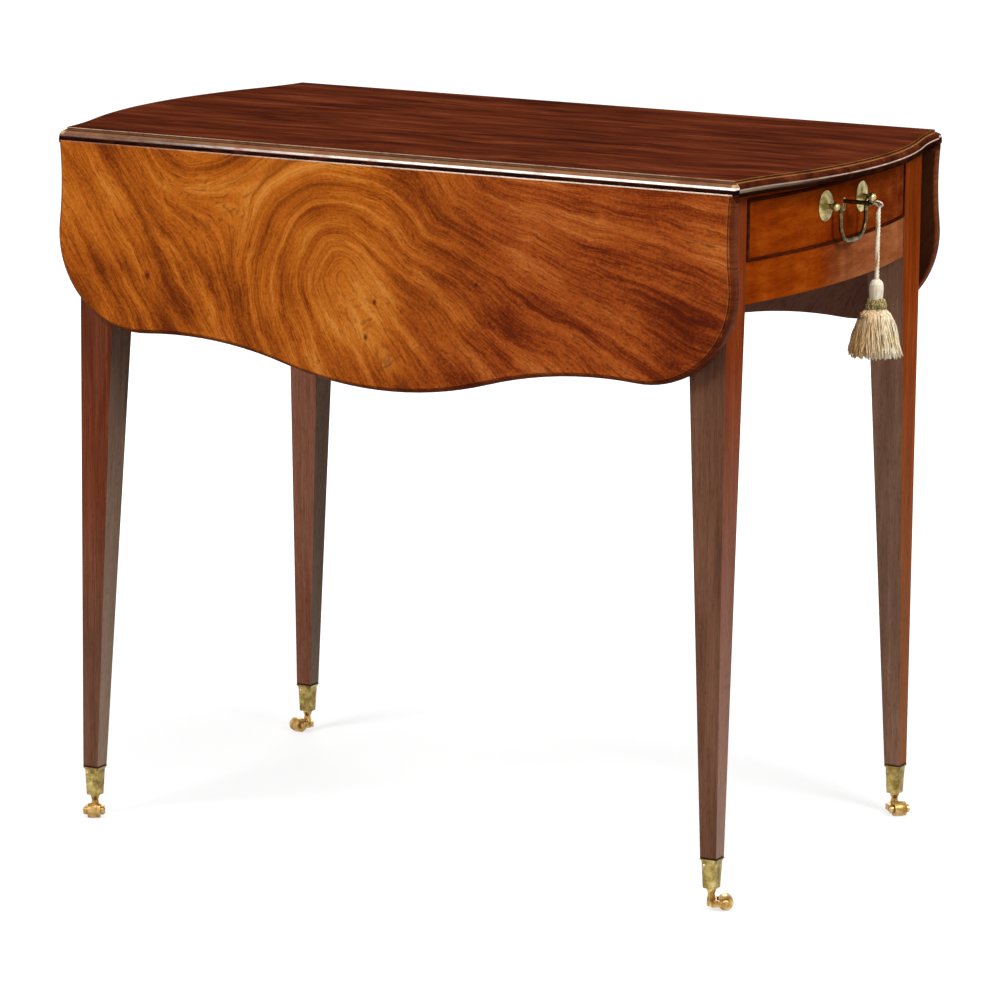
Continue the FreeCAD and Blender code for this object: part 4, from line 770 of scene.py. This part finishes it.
# Eye: the loop at the cord's top, round the rim of the key's bow and wound with ivory thread. It leans at 45
# degrees, and a short neck joins it to the cord.
eye_radius = 0.0042
eye_thickness = 0.00085
eye_winds = 14
eye_lean = 1 / math.sqrt(2)
neck_thickness = 0.0012
neck_swell = 0.0009
neck_tuck = 0.0005
head_shades = [(0.35, "#D6C6A4"), (0.5, "#E9DEC5"), (0.65, "#F3EBD8")]
head_silk = spun_silk("head_silk_ivory", head_shades, grain=0.0018, side_shade=0.0)
eye_turn = np.linspace(0, 2 * np.pi, 65)
eye_plane = np.stack([np.cos(eye_turn), eye_lean * np.sin(eye_turn), -eye_lean * np.sin(eye_turn)], axis=1)
eye_path = np.array([key_tip, 0.0, lock_height]) + eye_radius * eye_plane
eye_lobes = eye_thickness * (0.85 + 0.15 * np.abs(np.cos(1.5 * (turn - eye_winds * eye_turn[:, None]))))
loop = tube_mesh("tassel_eye", tube_points(eye_path, eye_lobes, ring, along_x, along_y)[None], head_silk)
neck_start = np.array([key_tip, eye_lean * eye_radius, lock_height - eye_lean * eye_radius])
neck_end = np.array([key_tip, 0.0, cord_top - neck_tuck])
neck_share = np.linspace(0, 1, 12)[:, None]
neck_path = neck_start + neck_share * (neck_end - neck_start)
neck_points = tube_points(neck_path, neck_thickness + neck_swell * neck_share, ring, along_x, along_y)
neck = tube_mesh("tassel_eye_neck", neck_points[None], head_silk)

# Head: a turned wooden mould, wound round and round with the same ivory silk. Its radius follows a profile of
# height, and the windings raise fine level ridges on it.
head_low, head_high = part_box("tassel_head")[0].z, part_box("tassel_head")[1].z
head_heights = (0.0, 0.2, 0.5, 0.75, 0.9, 1.0)
head_radii = (0.0060, 0.0066, 0.0071, 0.0068, 0.0056, 0.0032)
head_winds = 24
wind_ridge = 0.015
head_share = np.linspace(0, 1, 72)[:, None]
head_out = np.interp(head_share, head_heights, head_radii)
head_out = head_out * (1 + wind_ridge * np.cos(2 * np.pi * head_winds * head_share))
head_turn = np.linspace(0, 2 * np.pi, 40, endpoint=False)
head_points = round_axis(head_out, head_turn, head_low + (head_high - head_low) * head_share)
head = tube_mesh("tassel_wound_head", head_points[None], head_silk)

# Ruff: a band of loops of gold silk, sewn round under the head in two rows of small bights. The yarn is
# coarse and crumpled, so no two loops are alike.
ruff_low, ruff_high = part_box("tassel_ruff")[0].z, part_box("tassel_ruff")[1].z
ruff_tall = ruff_high - ruff_low
ruff_yarn = 0.00075
ruff_shades = [(0.32, "#5E4B1E"), (0.5, "#A08A44"), (0.66, "#D6C176")]
ruff_silk = spun_silk("ruff_silk_gold", ruff_shades, grain=0.0016, side_shade=0.0)
chance = np.random.default_rng(7)
bights = np.linspace(0, 2 * np.pi, 22, endpoint=False)[:, None]
bight_turn = np.linspace(0, 2 * np.pi, 13)


def ruff_bights(level, reach, size):
    """Paths of small upright loops set round the axis, all as one array (loops, points, 3). Each differs a
    little from the next in size, height and lean."""
    each = size * chance.uniform(0.75, 1.3, bights.shape)
    swing = chance.uniform(0.02, 0.22, bights.shape) * np.sin(2 * bight_turn)
    rise = chance.uniform(-0.0010, 0.0010, bights.shape) + each * np.sin(bight_turn)
    return round_axis(reach + 0.6 * each * np.cos(bight_turn), bights + swing, level + rise)


low_row = ruff_bights(ruff_low + ruff_tall * 0.33, 0.0078, 0.0032)
high_row = ruff_bights(ruff_low + ruff_tall * 0.68, 0.0070, 0.0030)
ruff_points = tube_points(np.concatenate([low_row, high_row]), ruff_yarn, 6, along_z, along_x)
ruff = tube_mesh("tassel_gold_ruff", ruff_points, ruff_silk)

# Skirt: straw-coloured silk threads tied under the ruff. They swell outwards to a bell, wave a little and end
# unevenly. A painted shade turns the threads that hang next to the table tan.
skirt_low, skirt_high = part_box("tassel_skirt")[0].z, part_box("tassel_skirt")[1].z
skirt_neck = 0.0085
skirt_hem = 0.0272
threads = (760, 1)
thread_radius = 0.00062
skirt_shades = [(0.34, "#CDB07A"), (0.44, "#E0CB9C"), (0.53, "#EDE1C2"), (0.66, "#F8F2E0")]
skirt_silk = spun_silk("skirt_silk_straw", skirt_shades, grain=0.0020, side_shade=0.9)
down = np.linspace(0, 1, 9)
start_angle = chance.uniform(0, 2 * np.pi, threads)
layer = np.sqrt(chance.uniform(0.25, 1.0, threads))
short = chance.uniform(0.0, 0.10, threads)
sway = chance.normal(0, 0.10, threads)
ripple = chance.uniform(0, 2 * np.pi, threads)
bell = skirt_neck + (skirt_hem - skirt_neck) * down**0.5
skirt_out = layer * bell * (1 + 0.03 * np.sin(9 * down + ripple))
skirt_angle = start_angle + sway * down + 0.05 * np.sin(7 * down + ripple)
skirt_level = skirt_high - (skirt_high - skirt_low) * down * (1 - short)
skirt_paths = round_axis(skirt_out, skirt_angle, skirt_level)
skirt_points = tube_points(skirt_paths, thread_radius * (1 - 0.2 * down[:, None]), 5, along_z, along_x)
skirt = tube_mesh("tassel_silk_skirt", skirt_points, skirt_silk)

for piece, node, slot in (
    (cord, "tassel_cord", "tassel_silk"),
    (loop, "tassel_loop", "tassel_silk"),
    (neck, "tassel_loop", "tassel_silk"),
    (head, "tassel_head", "tassel_silk"),
    (ruff, "tassel_ruff", "tassel_gold"),
    (skirt, "tassel_skirt", "tassel_silk"),
):
    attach(piece, "tassel")
    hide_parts(node)

# Castors: square cups, forks and rollers of cast and turned brass. The rollers and forks were filed and
# buffed bright, and the cups, which fit over the feet of the legs, have dulled.
castor_finish = aged_brass(
    "castor_brass_buffed",
    [(0.3, "#71552A"), (0.45, "#9F7D45"), (0.58, "#C09C62"), (0.72, "#E4CF9C")],
    grain=0.007,
    roughness=0.25,
)
cup_finish = aged_brass(
    "cup_brass_dulled",
    [(0.3, "#5C4A20"), (0.45, "#88733E"), (0.58, "#AA9658"), (0.72, "#D2C28A")],
    grain=0.010,
    roughness=0.32,
)
for corner in corner_names:
    finish_nodes(["castor_fork_" + corner, "castor_wheel_" + corner], castor_finish)
    finish_nodes(["castor_cup_" + corner], cup_finish)

# Castor pins: two copper pins hold each cup to its leg, driven through the cup's sides near the rim and
# left with low domed heads. A head is an ellipsoid's cap, with a radius pin_radius and a height pin_rise.
pin_radius = 0.0016
pin_rise = 0.0009
pin_offset = 0.0044
pin_drop = 0.0066
cup_half = 0.0080
pin_finish = aged_brass(
    "castor_pin_copper",
    [(0.3, "#8A5A44"), (0.45, "#B98A72"), (0.58, "#D6AE98"), (0.72, "#EFD6C6")],
    grain=0.003,
    roughness=0.3,
)
dome = np.linspace(0, math.radians(80), 7)[:, None]
pin_turn = np.linspace(0, 2 * np.pi, 20, endpoint=False)
for corner in corner_names:
    cup_low, cup_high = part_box("castor_cup_" + corner)
    middle = (cup_low + cup_high) / 2
    for side_name, side in (("near", -1.0), ("far", 1.0)):
        across = middle.x + side * pin_offset + pin_radius * np.cos(dome) * np.cos(pin_turn)
        outward = middle.y + side * (cup_half + pin_rise * np.sin(dome))
        level = cup_high.z - pin_drop - side * pin_radius * np.cos(dome) * np.sin(pin_turn)
        pin_points = np.stack(np.broadcast_arrays(across, outward, level), axis=-1)
        pin = tube_mesh("castor_pin_" + corner + "_" + side_name, pin_points[None], pin_finish)
        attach(pin, "frame")

# Studio: a white paper floor that runs out of the picture, a white surround, and four large soft lamps. The
# eye sees floor and surround as white, while they light the table more dimly.
floor_half = 12.0
paper_grey = (0.4, 0.4, 0.4, 1.0)
paper_near = 0.6
paper_far = 2.2
paper_near_glow = 0.66
surround_light = 0.32


def seen_directly(tree):
    """1 for rays that the eye follows straight, in a mirror or through glass, and 0 for all others."""
    path = put(tree, "LightPath").node.outputs
    mirrored = put(tree, "Math", {0: path["Is Camera Ray"], 1: path["Is Glossy Ray"]}, operation="ADD")
    through = {0: mirrored, 1: path["Is Transmission Ray"]}
    return put(tree, "Math", through, operation="ADD", use_clamp=True)


floor_corners = [(x * floor_half, y * floor_half, 0.0) for x, y in ((-1, -1), (1, -1), (1, 1), (-1, 1))]
floor_mesh = bpy.data.meshes.new("studio_floor")
floor_mesh.from_pydata(floor_corners, [], [(0, 1, 2, 3)])
floor = bpy.data.objects.new("studio_floor", floor_mesh)
bpy.context.scene.collection.objects.link(floor)
floor_finish, tree = new_finish("floor_white_paper")
where = put(tree, "TexCoord", out="Object")
away = put(tree, "VectorMath", {0: where}, out="Value", operation="LENGTH")
fade = {"Value": away, "From Min": paper_near, "From Max": paper_far, "To Min": paper_near_glow}
far_glow = put(tree, "MapRange", fade, clamp=True)
glow_power = put(tree, "Math", {0: seen_directly(tree), 1: far_glow}, operation="MULTIPLY")
paper = put(tree, "BsdfDiffuse", {"Color": paper_grey})
glow = put(tree, "Emission", {"Strength": glow_power})
put(tree, "OutputMaterial", {"Surface": put(tree, "AddShader", {0: paper, 1: glow})})
floor_mesh.materials.append(floor_finish)

world = bpy.data.worlds.new("studio_white")
bpy.context.scene.world = world
world.use_nodes = True
tree = world.node_tree
tree.nodes.clear()
strength = put(tree, "MapRange", {"Value": seen_directly(tree), "To Min": surround_light}, clamp=True)
surround = put(tree, "Background", {"Color": linear("#FFFFFF"), "Strength": strength})
put(tree, "OutputWorld", {"Surface": surround})

for name, place, aim, size, power in (
    ("key_lamp", (-1.5, -3.0, 2.9), (0.0, 0.0, 0.45), 1.6, 105.0),
    ("side_lamp", (3.1, -1.0, 2.6), (0.2, 0.0, 0.45), 1.2, 80.0),
    ("top_lamp", (0.4, -0.4, 3.2), (0.0, 0.0, 0.6), 1.2, 60.0),
    ("back_lamp", (-1.6, 3.0, 1.8), (0.0, 0.0, 0.45), 1.6, 32.0),
):
    lamp = bpy.data.lights.new(name, "AREA")
    lamp.shape = "SQUARE"
    lamp.size = size
    lamp.energy = power
    held = bpy.data.objects.new(name, lamp)
    held.location = place
    held.rotation_euler = (Vector(aim) - Vector(place)).to_track_quat("-Z", "Y").to_euler()
    bpy.context.scene.collection.objects.link(held)

# Camera: a long lens about 5 m away and 1.4 m above the floor, on a stand that leans very little. It looks a
# little down on the drawer end and the front leaf.
camera_place = (2.5048, -4.6253, 1.3764)
camera_heading = math.radians(28.430)
camera_tilt = math.radians(78.790)
camera_roll = math.radians(0.590)
lens_length = 186.92
film_width = 36.0
lens = bpy.data.cameras.new("studio_camera")
lens.sensor_width = film_width
lens.lens = lens_length
camera = bpy.data.objects.new("studio_camera", lens)
camera.location = camera_place
heading = Matrix.Rotation(camera_heading, 3, "Z")
tilt = Matrix.Rotation(camera_tilt, 3, "X")
roll = Matrix.Rotation(camera_roll, 3, "Z")
camera.rotation_euler = (heading @ tilt @ roll).to_euler()
bpy.context.scene.collection.objects.link(camera)
bpy.context.scene.camera = camera
bpy.context.scene.view_settings.view_transform = "Standard"
